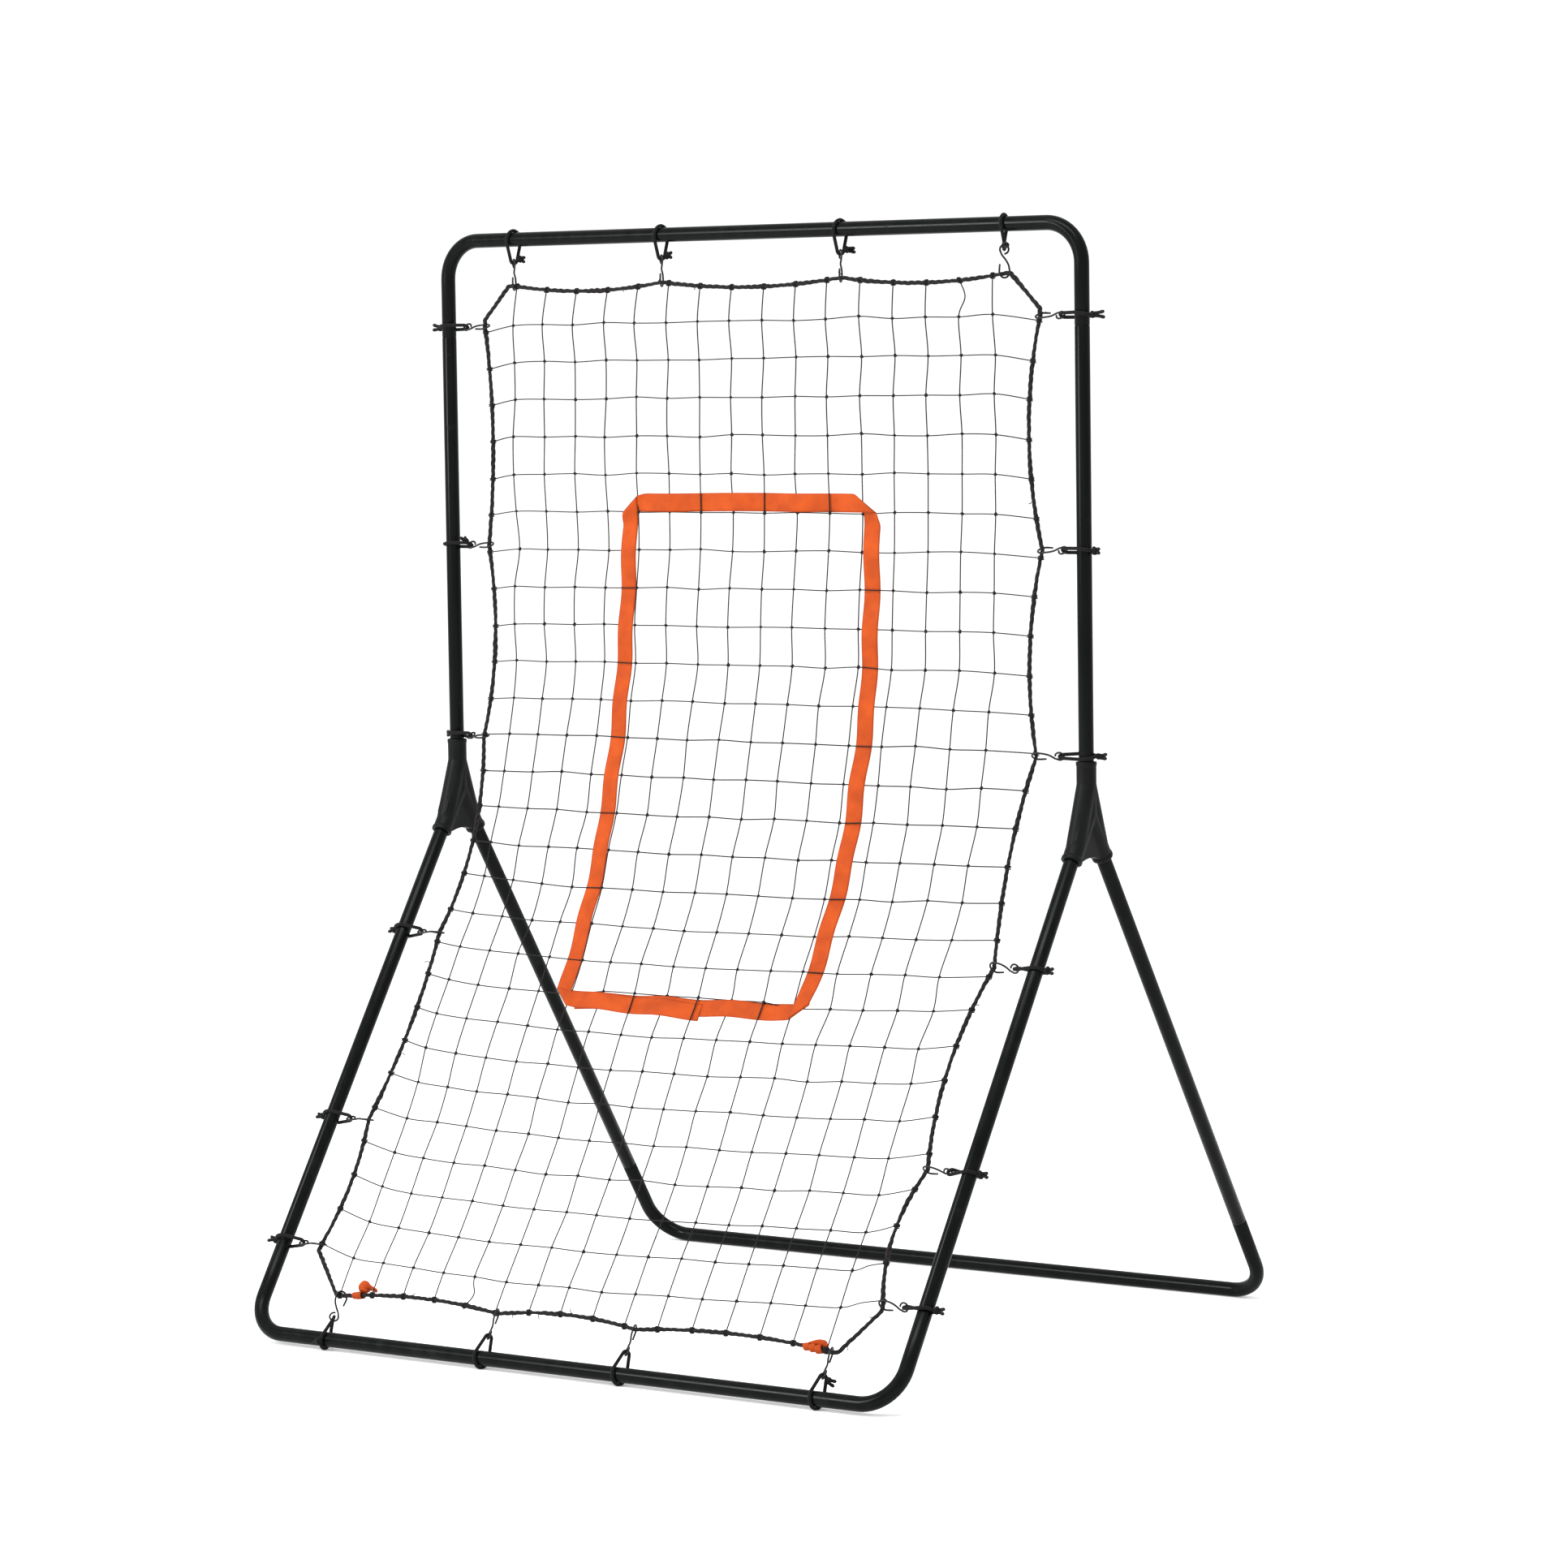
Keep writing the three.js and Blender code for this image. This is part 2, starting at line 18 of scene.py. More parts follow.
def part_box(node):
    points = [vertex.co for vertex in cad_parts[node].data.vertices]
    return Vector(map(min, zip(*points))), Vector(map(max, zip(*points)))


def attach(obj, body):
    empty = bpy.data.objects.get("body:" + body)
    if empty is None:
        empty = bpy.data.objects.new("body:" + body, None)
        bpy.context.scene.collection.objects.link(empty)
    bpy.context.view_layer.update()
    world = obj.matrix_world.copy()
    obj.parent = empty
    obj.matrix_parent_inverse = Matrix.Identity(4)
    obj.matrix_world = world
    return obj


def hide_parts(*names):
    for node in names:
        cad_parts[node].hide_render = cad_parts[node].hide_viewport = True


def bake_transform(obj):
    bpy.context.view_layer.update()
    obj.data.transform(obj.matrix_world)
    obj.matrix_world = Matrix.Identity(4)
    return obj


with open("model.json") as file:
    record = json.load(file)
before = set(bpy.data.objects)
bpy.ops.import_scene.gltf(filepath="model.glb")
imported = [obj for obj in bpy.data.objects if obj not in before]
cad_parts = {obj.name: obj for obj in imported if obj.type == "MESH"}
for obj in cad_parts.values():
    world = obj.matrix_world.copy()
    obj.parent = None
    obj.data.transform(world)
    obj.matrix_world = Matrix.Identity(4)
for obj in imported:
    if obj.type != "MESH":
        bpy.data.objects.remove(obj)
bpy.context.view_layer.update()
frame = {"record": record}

MM = 0.001
DEGREE = math.pi / 180
X = Vector((1, 0, 0))
UP = Vector((0, 0, 1))
BACK = Vector((0, 1, 0))

# ---- Sizes that the CAD part has too ----

TUBE = 9.5 * MM  # radii
SLEEVE = 12.5 * MM
LIP = 13.6 * MM
CORD = 2.25 * MM
WIRE = 1.25 * MM
BEND_RADIUS = 50 * MM
CORNER_LEG = 127 * MM  # from the axis of a U tube's bar to the end of its legs
SOCKET_START = 32 * MM
SLEEVE_TOP = 66 * MM
SLEEVE_LEG = 68 * MM
LIP_LENGTH = 5 * MM
WEB = 15 * MM

ROPE_SIDE = 432 * MM
ROPE_TOP = 670 * MM
ROPE_BOTTOM = -744 * MM
LEFT_SCALLOP = 10 * MM
RIGHT_SCALLOP = 18 * MM
END_SCALLOP = 9 * MM
CORNER_RUN = 9 * MM
NET_ABOVE = 400 * MM
NET_BELOW = 300 * MM

TOP_HOOKS = [x * MM for x in (-382, -142, 137, 381)]
BOTTOM_HOOKS = [x * MM for x in (-369, -120, 92, 382)]
SIDE_HOOKS = [s * MM for s in (617, 327, 66, -219, -497, -677)]
LOWEST_UPRIGHT_LOOP = 72.25 * MM

LOOP_SLANT = 3 * MM
BIGHT = 4.2 * MM
THROAT = 8 * MM
THROAT_OFFSET = 2.5 * MM
EYE = 5.5 * MM
HOOK_REACH = 35 * MM
THROAT_TURN = 22 * DEGREE
EYE_TURN = 50 * DEGREE

STRAP = 24 * MM
EDGE_CLEARANCE = 13 * MM  # from the strap's middle to a twine that runs along its edge
ZONE_LEFT = -201 * MM
ZONE_RIGHT = 178.5 * MM
ZONE_TOP = 384 * MM
ZONE_BOTTOM = -303 * MM
STRAP_LEFT = ZONE_LEFT + 3 * MM  # the middle of the strap's left side at its top
LEFT_FOOT = 1.5 * MM  # how far the feet of the strap's sides stand inward of their tops
RIGHT_FOOT = 5 * MM
LEFT_BOW = 8 * MM  # how far the strap's sides bow outward
RIGHT_BOW = 5 * MM
TOP_BOW = 1 * MM
BOTTOM_RISE = 1.5 * MM

# Each attachment in the CAD part's order: the hook's twist, where its cord is knotted, the knot's
# size and how far the cord's ends stand out of it, in millimetres.
TIES = (
    (-1, "eye", 0.9, 1.5), (-1, "eye", 1.0, 0.5), (-1, "eye", 0.8, 6), (1, "eye", 0.9, 0.5),
    (1, "outside", 0.8, 4), (1, "eye", 0.9, 3), (1, "outside", 0.6, 0), (1, "outside", 0.8, 3),
    (1, "outside", 0.8, 6), (1, "outside", 0.85, 5),
    (-1, "outside", 0.75, 9), (-1, "outside", 1.0, 0), (1, "outside", 0.6, 4),
    (1, "outside", 1.0, 3), (0.3, "outside", 1.0, 3), (1, "outside", 1.0, 4),
    (-1, "front", 0.75, 2), (1, "back", 0.9, 2), (1, "back", 0.9, 2), (1, "eye", 0.9, 3),
)

# ---- The frame's lines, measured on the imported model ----

upright_low, upright_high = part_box("upright_right")
front_low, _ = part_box("u_tube_front")
rear_low, rear_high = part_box("u_tube_rear")
_, top_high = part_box("u_tube_top")

HALF = (upright_low.x + upright_high.x) / 2
FRAME_Y = (upright_low.y + upright_high.y) / 2
BEND = Vector((0, FRAME_Y, upright_low.z - SOCKET_START))
TOP_BAR = Vector((0, FRAME_Y, top_high.z - TUBE))
FRONT_BAR = Vector((0, front_low.y + TUBE, front_low.z + TUBE))
REAR_BAR = Vector((0, rear_high.y - TUBE, rear_low.z + TUBE))
FRONT_LEG = (FRONT_BAR - BEND).normalized()
REAR_LEG = (REAR_BAR - BEND).normalized()


def on_frame(x, s):
    """A point of the plane of the uprights and front legs."""
    return BEND + X * x + (UP if s >= 0 else FRONT_LEG) * abs(s)


def on_net(x, s):
    """A point of the net, which cuts the frame's corner along a parabola."""
    pull = 1 - 0.3 * (x / ROPE_SIDE) ** 2
    above, below = NET_ABOVE * pull, NET_BELOW * pull
    if s >= above or s <= -below:
        return on_frame(x, s)
    root = math.sqrt(above**2 - (above - below) * (above - s))
    t = (above - root) / (above - below)
    return BEND + X * x + UP * above * (1 - t) ** 2 + FRONT_LEG * below * t**2


def up_net(x, s, step=5 * MM):
    """Twice the step up along the net."""
    return on_net(x, s + step) - on_net(x, s - step)


def net_front(x, s):
    """The direction square to the net, towards the player."""
    return X.cross(up_net(x, s, 4 * MM)).normalized()


def off_net(x, s, out):
    """A point at that distance in front of the net."""
    return on_net(x, s) + net_front(x, s) * out


# ---- Mesh building ----


def smooth_step(t):
    t = min(max(t, 0.0), 1.0)
    return t * t * (3 - 2 * t)


def arc(centre, radius, axis_a, axis_b, start, stop, steps):
    """Points of a circular arc, with its angles in degrees from axis_a towards axis_b."""
    angles = [(start + (stop - start) * i / steps) * DEGREE for i in range(steps + 1)]
    return [centre + (axis_a * math.cos(a) + axis_b * math.sin(a)) * radius for a in angles]


def rounded(points, steps):
    """A Catmull-Rom curve through the points."""
    padded = points[:1] + points + points[-1:]
    out = []
    for a, b, c, d in zip(padded, padded[1:], padded[2:], padded[3:]):
        for k in range(steps):
            t = k / steps
            out.append(0.5 * (2 * b + (c - a) * t + (2 * a - 5 * b + 4 * c - d) * t**2
                              + (3 * b - a - 3 * c + d) * t**3))
    return out + [points[-1]]


def resampled(points, step):
    """Points at even distances along the closed line through the points."""
    line = np.array([list(p) for p in points + points[:1]])
    lengths = np.concatenate([[0], np.cumsum(np.linalg.norm(np.diff(line, axis=0), axis=1))])
    places = np.linspace(0, lengths[-1], round(lengths[-1] / step) + 1)[:-1]
    return [Vector(p) for p in zip(*(np.interp(places, lengths, line[:, k]) for k in range(3)))]


def linked(name, data):
    """A new object of a mesh, camera or light, in the scene."""
    obj = bpy.data.objects.new(name, data)
    bpy.context.scene.collection.objects.link(obj)
    return obj


def sides_along(line, closed, hint):
    """Tangents along a line, and two directions square to them that turn as little as they can."""
    if closed:
        tangents = np.roll(line, -1, 0) - np.roll(line, 1, 0)
    else:
        tangents = np.gradient(line, axis=0)
    tangents /= np.linalg.norm(tangents, axis=1)[:, None]
    first = tangents[0]
    side = np.array(hint if hint is not None else np.eye(3)[np.argmin(abs(first))], float)
    sides = np.zeros_like(line)
    for i, tangent in enumerate(tangents):
        side = side - tangent * (side @ tangent)
        side /= np.linalg.norm(side)
        sides[i] = side
    if closed:
        last = sides[-1] - first * (sides[-1] @ first)
        twist = math.atan2(np.cross(sides[0], last) @ first, sides[0] @ last)
        turn = -twist * np.arange(len(line)) / len(line)
        across = np.cross(tangents, sides)
        sides = sides * np.cos(turn)[:, None] + across * np.sin(turn)[:, None]
    return tangents, sides, np.cross(tangents, sides)


class Piece:
    """Gathers tubes and sheets of points, then makes one mesh object of them.
    Its UV map "run" holds the turn round a tube, from 0 to 1, and the metres along it."""

    def __init__(self):
        self.verts, self.faces, self.runs, self.slots = [], [], [], []
        self.count = 0

    def add(self, verts, faces, runs, slot=0):
        """Faces are rows of three or four corners, with the run of every corner."""
        self.verts.append(np.asarray(verts, float))
        self.faces.append(np.asarray(faces) + self.count)
        self.runs.append(np.asarray(runs, float))
        self.slots.append(slot)
        self.count += len(verts)

    def tube(self, points, radius, sides=8, closed=False, hint=None, slot=0):
        """A round tube along the points, with one radius or one for each point. Ends are domed."""
        line = np.array([list(p) for p in points])
        radii = np.broadcast_to(np.asarray(radius, float), len(line)).copy()
        tangents, one, two = sides_along(line, closed, hint)
        if not closed:
            rise = [0.5, 0.85, 1.0]
            shrink = np.array([0.87, 0.53, 0.04])
            head = [line[0] - tangents[0] * radii[0] * r for r in reversed(rise)]
            tail = [line[-1] + tangents[-1] * radii[-1] * r for r in rise]
            line = np.concatenate([head, line, tail])
            radii = np.concatenate([radii[0] * shrink[::-1], radii, radii[-1] * shrink])
            one, two = (np.concatenate([a[:1]] * 3 + [a] + [a[-1:]] * 3) for a in (one, two))
        rings = len(line)
        angles = (2 * math.pi * np.arange(sides) / sides)[None, :, None]
        ring = np.cos(angles) * one[:, None] + np.sin(angles) * two[:, None]
        verts = (line[:, None] + ring * radii[:, None, None]).reshape(-1, 3)
        i = np.arange(rings if closed else rings - 1)[:, None]
        j = np.arange(sides)[None, :]
        here, there = i * sides, (i + 1) % rings * sides
        turn = (j + 1) % sides
        quads = np.stack([here + j, here + turn, there + turn, there + j], -1).reshape(-1, 4)
        steps = np.linalg.norm(np.diff(line, axis=0, append=line[:1]), axis=1)
        along = np.concatenate([[0], np.cumsum(steps)])
        runs = [np.stack(np.broadcast_arrays((j + u) / sides, along[i + v]), -1)
                for u, v in ((0, 0), (1, 0), (1, 1), (0, 1))]
        self.add(verts, quads, np.stack(runs, -2).reshape(-1, 4, 2), slot)
        if not closed:
            start = (rings - 1) * sides
            fan = [[0, k + 1, k] for k in range(1, sides - 1)]
            fan += [[start, start + k, start + k + 1] for k in range(1, sides - 1)]
            self.lids(len(verts), fan, slot)

    def lids(self, back, faces, slot=0):
        """Faces on points that are already there, counted from that many points back."""
        self.add(np.zeros((0, 3)), np.array(faces) - back, np.zeros((*np.shape(faces), 2)), slot)

    def band(self, rings, runs):
        """A strip with a closed section. A ring is the points of its front, then those of its back
        and the first point again, with one run for each. A lid of quads shuts both ends."""
        height, width = len(rings), len(rings[0])
        quads = [[k, k + 1, k + width + 1, k + width]
                 for i in range(height - 1) for k in range(i * width, (i + 1) * width - 1)]
        flat_runs = np.array([run for row in runs for run in row], float)
        self.add([list(p) for ring in rings for p in ring], quads, flat_runs[quads])
        lids = [[start + c, start + c + 1, start + width - 3 - c, start + width - 2 - c]
                for start in (0, (height - 1) * width) for c in range(width // 2 - 1)]
        self.lids(height * width, lids)

    def copies(self, other, places):
        """Another piece's mesh again, at each of the 4 by 4 placings."""
        base = np.concatenate(other.verts)
        for place in places:
            turned = base @ place[:3, :3].T + place[:3, 3]
            start = self.count
            self.verts.append(turned)
            self.count += len(turned)
            for faces, runs in zip(other.faces, other.runs):
                self.faces.append(faces + start)
                self.runs.append(runs)
                self.slots.append(0)

    def make(self, name, *materials, sharp=None):
        """The mesh object. Edges bent by more than sharp degrees are shaded as sharp."""
        mesh = bpy.data.meshes.new(name)
        verts = np.concatenate(self.verts)
        sizes = np.concatenate([np.full(len(f), f.shape[1]) for f in self.faces])
        corners = np.concatenate([f.ravel() for f in self.faces])
        slots = np.concatenate([np.full(len(f), s) for f, s in zip(self.faces, self.slots)])
        mesh.vertices.add(len(verts))
        mesh.vertices.foreach_set("co", verts.ravel())
        mesh.loops.add(len(corners))
        mesh.loops.foreach_set("vertex_index", corners)
        mesh.polygons.add(len(sizes))
        mesh.polygons.foreach_set("loop_start", np.concatenate([[0], np.cumsum(sizes)[:-1]]))
        mesh.polygons.foreach_set("loop_total", sizes)
        mesh.polygons.foreach_set("material_index", slots)
        mesh.update(calc_edges=True)
        layer = mesh.uv_layers.new(name="run")
        layer.data.foreach_set("uv", np.concatenate([r.ravel() for r in self.runs]))
        mesh.polygons.foreach_set("use_smooth", np.ones(len(sizes), bool))
        if sharp:
            mesh.set_sharp_from_angle(angle=sharp * DEGREE)
        mesh.validate()
        for material in materials:
            mesh.materials.append(material)
        return linked(name, mesh)


# ---- Materials ----


class Look:
    """A material and short calls for its nodes. A value is a number or another node's output."""

    def __init__(self, name, **sockets):
        self.material = bpy.data.materials.new(name)
        self.material.use_nodes = True
        self.tree = self.material.node_tree
        self.bsdf = self.tree.nodes["Principled BSDF"]
        for key, value in sockets.items():
            self.bsdf.inputs[key.replace("_", " ")].default_value = value

    def node(self, kind, *values, output=0, **settings):
        made = self.tree.nodes.new("ShaderNode" + kind)
        for key, value in settings.items():
            setattr(made, key, value)
        for socket, value in zip(made.inputs, values):
            self.feed(socket, value)
        return made.outputs[output]

    def feed(self, socket, value):
        if isinstance(value, bpy.types.NodeSocket):
            self.tree.links.new(value, socket)
        elif value is not None:
            socket.default_value = value

    def math(self, operation, a, b=None):
        return self.node("Math", a, b, operation=operation)

    def plus(self, a, b):
        return self.math("ADD", a, b)

    def times(self, a, b):
        return self.math("MULTIPLY", a, b)

    def place(self):
        return self.node("TexCoord", output=3)

    def run(self):
        """The turn round a tube and the metres along it."""
        return self.node("SeparateXYZ", self.node("UVMap", uv_map="run")).node.outputs[:2]

    def twist(self, around_turns, along_turns):
        """Slanted waves: so many round a tube and so many for each metre along it."""
        around, along = self.run()
        turns = self.plus(self.times(around, around_turns), self.times(along, along_turns))
        return self.wave(turns, 1)

    def drawn(self, detail, around_scale, along_scale):
        """Noise with a scale of its own round a tube and along it."""
        around, along = self.run()
        return self.noise(1, detail, self.node("CombineXYZ", self.times(around, around_scale),
                                               self.times(along, along_scale)))

    def pins(self, made, **values):
        """Values for the named inputs of the node that this output belongs to."""
        for key, value in values.items():
            self.feed(made.node.inputs[key.replace("_", " ")], value)
        return made

    def noise(self, scale, detail, vector=None):
        vector = self.place() if vector is None else vector
        return self.pins(self.node("TexNoise"), Scale=scale, Detail=detail, Vector=vector)

    def between(self, value, low=0, high=1, from_low=0.3, from_high=0.7):
        """The value's range from from_low to from_high, spread from low to high."""
        return self.pins(self.node("MapRange"), Value=value, From_Min=from_low, From_Max=from_high,
                         To_Min=low, To_Max=high)

    def blend(self, factor, first, second):
        """From one colour to another. A colour is three numbers or another node's output."""
        made = self.node("Mix", data_type="RGBA", output=2)
        pins = made.node.inputs
        self.feed(pins["Factor"], factor)
        for pin, colour in ((pins[6], first), (pins[7], second)):
            self.feed(pin, colour if isinstance(colour, bpy.types.NodeSocket) else (*colour, 1))
        return made

    def wave(self, value, turns):
        """A sine of the value with that many turns in each unit, from -1 to 1."""
        return self.math("SINE", self.times(value, turns * 2 * math.pi))

    def finish(self, colour, roughness, height=None, distance=0.0, strength=1.0):
        """Colour, roughness and bump height into the shader. Distance is the bump's depth."""
        self.feed(self.bsdf.inputs["Base Color"], colour)
        self.feed(self.bsdf.inputs["Roughness"], roughness)
        if height is not None:
            bump = self.pins(self.node("Bump"), Strength=strength, Distance=distance, Height=height)
            self.feed(self.bsdf.inputs["Normal"], bump)
        return self.material


def paint():
    """Black gloss paint on steel tube: slight orange peel, thin streaks and a few dull rubs."""
    look = Look("frame_paint", Specular_IOR_Level=0.065)
    peel = look.noise(420, 3)
    streaks = look.noise(60, 4, look.pins(look.node("Mapping", look.place()), Scale=(1, 1, 0.12)))
    rubs = look.between(look.noise(38, 6), 0, 1, 0.62, 0.72)
    tone = look.blend(look.between(streaks), (0.0016, 0.0021, 0.002), (0.0034, 0.0043, 0.004))
    colour = look.blend(look.times(rubs, 0.35), tone, (0.010, 0.0115, 0.011))
    roughness = look.plus(look.between(streaks, 0.2, 0.28), look.times(rubs, 0.15))
    return look.finish(colour, roughness, peel, 0.00004, 0.5)


def plastic():
    """Black moulded plastic: fine spark texture with soft mottling."""
    look = Look("connector_plastic", Specular_IOR_Level=0.09)
    grain = look.noise(1600, 2)
    mottle = look.noise(45, 4)
    colour = look.blend(look.between(mottle), (0.0022, 0.0027, 0.0025), (0.0048, 0.0055, 0.0052))
    roughness = look.plus(look.between(mottle, 0.4, 0.5), look.between(grain, -0.04, 0.05))
    return look.finish(colour, roughness, grain, 0.00006, 0.6)


def elastic():
    """Black braided elastic: crossing yarns stand out as small diamonds."""
    look = Look("elastic_cord", Specular_IOR_Level=0.1, Sheen_Weight=0.03)
    braid = look.math("MAXIMUM", look.twist(8, 430), look.twist(8, -430))
    yarn = look.between(braid, 0, 1, -0.6, 1)
    fuzz = look.noise(2200, 3)
    colour = look.blend(look.times(yarn, look.between(fuzz, 0.5)), (0.002, 0.0018, 0.0019),
                        (0.011, 0.0102, 0.0106))
    return look.finish(colour, look.between(fuzz, 0.7, 0.9), braid, 0.0001, 0.7)


def melted():
    """The shiny sealed end of an elastic cord."""
    look = Look("melted_end", Specular_IOR_Level=0.14)
    lumps = look.noise(700, 3)
    colour = look.blend(look.between(lumps), (0.003, 0.0027, 0.0024), (0.012, 0.011, 0.009))
    return look.finish(colour, look.between(lumps, 0.24, 0.42), lumps, 0.0003, 0.6)


def wire():
    """Dark zinc-plated wire with fine drawing lines and dull spots."""
    look = Look("hook_wire", Metallic=0.85, Specular_IOR_Level=0.3)
    lines = look.drawn(3, 40, 60)
    spots = look.noise(500, 4)
    colour = look.blend(look.between(spots), (0.011, 0.011, 0.012), (0.036, 0.036, 0.038))
    roughness = look.plus(look.between(lines, 0.26, 0.4), look.between(spots, 0, 0.12))
    return look.finish(colour, roughness, lines, 0.00004, 0.5)


def rope_yarn():
    """The yarns of the twisted border rope, with painted glints: near-white flecks where the fibres
    would catch the light.
    """
    look = Look("border_rope", Specular_IOR_Level=0.12, Sheen_Weight=0.04)
    yarns = look.twist(7, 130)
    fibres = look.drawn(4, 22, 420)
    # Painted glints: where the fibre noise is high, the colour is lightened almost to white. This
    # stands for light caught by the fibres.
    painted_glints = look.between(fibres, 0, 1, 0.6, 0.72)
    tone = look.blend(look.between(yarns, 0, 1, -1, 1), (0.003, 0.0022, 0.0025),
                      (0.0125, 0.0098, 0.0108))
    colour = look.blend(look.times(painted_glints, 0.5), tone, (0.12, 0.112, 0.116))
    height = look.plus(yarns, look.times(fibres, 0.8))
    return look.finish(colour, look.between(fibres, 0.5, 0.8), height, 0.0002, 0.8)


def twine():
    """Two-ply net twine: a dark brown-black cord with a steep twist and some fuzz."""
    look = Look("net_twine", Specular_IOR_Level=0.12, Sheen_Weight=0.03)
    plies = look.twist(2, 210)
    fuzz = look.noise(2600, 3)
    colour = look.blend(look.times(look.between(plies, 0, 1, -0.8, 1), look.between(fuzz, 0.4)),
                        (0.0045, 0.0036, 0.004), (0.021, 0.018, 0.0195))
    return look.finish(colour, look.between(fuzz, 0.6, 0.85), plies, 0.0002, 0.8)


def webbing():
    """Orange nylon webbing: ribs across it, a herringbone of yarns and firm plain edges."""
    look = Look("orange_webbing", Specular_IOR_Level=0.12, Sheen_Weight=0.03)
    across, along = look.run()
    from_middle = look.math("ABSOLUTE", look.math("SUBTRACT", across, 0.5))
    ribs = look.wave(along, 900)
    slant = look.math("PINGPONG", look.times(across, 4), 0.5)
    yarns = look.wave(look.plus(look.times(along, 430), look.times(slant, 3)), 1)
    edge = look.between(from_middle, 0, 1, 0.43, 0.47)
    # Large random patches where the orange is lighter.
    tone_patches = look.noise(45, 4)
    fuzz = look.noise(1800, 3)
    bright = look.plus(look.between(yarns, 0, 0.25, -1, 1), look.between(tone_patches, 0, 0.75))
    tone = look.blend(bright, (0.29, 0.035, 0.0018), (0.42, 0.058, 0.0034))
    colour = look.blend(look.times(edge, 0.35), tone, (0.29, 0.026, 0.004))
    height = look.plus(look.times(ribs, 0.4), look.plus(yarns, edge))
    roughness = look.plus(look.between(fuzz, 0.5, 0.68), look.times(edge, -0.06))
    return look.finish(colour, roughness, height, 0.00012, 0.6)


def floor_paint():
    """A plain pale studio floor with the faintest mottling."""
    look = Look("pale_floor")
    mottle = look.noise(1.5, 3)
    colour = look.blend(look.between(mottle), (0.95, 0.95, 0.95), (0.97, 0.97, 0.97))
    look.bsdf.inputs["Emission Color"].default_value = (1, 1, 1, 1)
    look.bsdf.inputs["Emission Strength"].default_value = 0.12
    return look.finish(colour, look.between(mottle, 0.8, 0.9))


PAINT = paint()
PLASTIC = plastic()
ELASTIC = elastic()
MELTED = melted()
STEEL_WIRE = wire()
ROPE_YARN = rope_yarn()
TWINE = twine()
WEBBING = webbing()

# ---- Frame tubes ----

JOINT_CHAMFER = 0.7 * MM
JOINT_ROUND = 0.25 * MM
JOINT_INNER = 7.6 * MM
JOINT_GAP = 0.3 * MM
SPIGOT = 33 * MM
TUBE_SIDES = 48


def chamfered(end, outward):
    """Points and radii that finish a tube at a joint."""
    points = [end - outward * JOINT_CHAMFER, end - outward * JOINT_CHAMFER * 0.3, end]
    return points, [TUBE, TUBE - JOINT_ROUND, TUBE - JOINT_CHAMFER]


def painted_tube(node, points, radii, hint):
    piece = Piece()
    piece.tube(points, radii, TUBE_SIDES, hint=hint)
    obj = piece.make(node + "_painted", PAINT, sharp=35)
    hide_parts(node)
    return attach(obj, "frame")


def u_tube(node, bar, inward):
    """A bar along X with a bend and a short leg at each end, and the spigots of its two joints."""
    end = bar + X * HALF + inward * CORNER_LEG
    leg, leg_radii = chamfered(end, inward)
    leg += [end + inward * 0.02 * MM, end + inward * SPIGOT]
    leg_radii += [JOINT_INNER] * 2
    corner = bar + X * (HALF - BEND_RADIUS) + inward * BEND_RADIUS
    bend = arc(corner, BEND_RADIUS, X, -inward, 0, 90, 14)
    half = leg[::-1] + bend
    mirrored = [Vector((-p.x, p.y, p.z)) for p in reversed(half)]
    radii = leg_radii[::-1] + [TUBE] * len(bend)
    return painted_tube(node, half + mirrored, radii + radii[::-1], X.cross(inward))


def straight_tube(node, side, direction, u_joint):
    """A tube from inside the connector to the joint with a U tube."""
    points, radii = chamfered(u_joint - direction * JOINT_GAP, direction)
    start = BEND + X * side * HALF + direction * SOCKET_START
    return painted_tube(node, [start] + points, [TUBE] + radii, X)


LEGS = (("top", "upright", UP, TOP_BAR), ("front", "front_leg", FRONT_LEG, FRONT_BAR),
        ("rear", "rear_leg", REAR_LEG, REAR_BAR))
HANDS = ((-1, "left"), (1, "right"))

for end, _, direction, bar in LEGS:
    u_tube("u_tube_" + end, bar, -direction)
for side, hand in HANDS:
    for _, name, direction, bar in LEGS:
        joint = bar + X * side * HALF - direction * CORNER_LEG
        straight_tube(f"{name}_{hand}", side, direction, joint)

# ---- Connectors ----


SHOULDER = 38  # millimetres from the fork's centre up to where its skin and web start
SKIN_FOOT = 50  # and down a leg to where the skin ends
RING = 48


def mesh_of(build):
    """A mesh object made by a function that fills a bmesh."""
    bm = bmesh.new()
    build(bm)
    mesh = bpy.data.meshes.new("shape")
    bm.to_mesh(mesh)
    bm.free()
    return linked("shape", mesh)


def cylinder(bm, start, direction, radius, length):
    turn = UP.rotation_difference(direction).to_matrix().to_4x4()
    place = Matrix.Translation(start + direction * length / 2) @ turn
    bmesh.ops.create_cone(bm, cap_ends=True, segments=64, radius1=radius, radius2=radius,
                          depth=length, matrix=place)


def skin(bm, leg):
    """The hull of a ring round the upper sleeve and a ring round a leg's sleeve."""
    verts = []
    for centre, axis in ((UP * SHOULDER * MM, UP), (leg * SKIN_FOOT * MM, leg)):
        square = axis.cross(X)
        for k in range(RING):
            angle = 2 * math.pi * k / RING
            rim = X * math.cos(angle) + square * math.sin(angle)
            verts.append(bm.verts.new(centre + rim * SLEEVE))
    bmesh.ops.convex_hull(bm, input=verts)


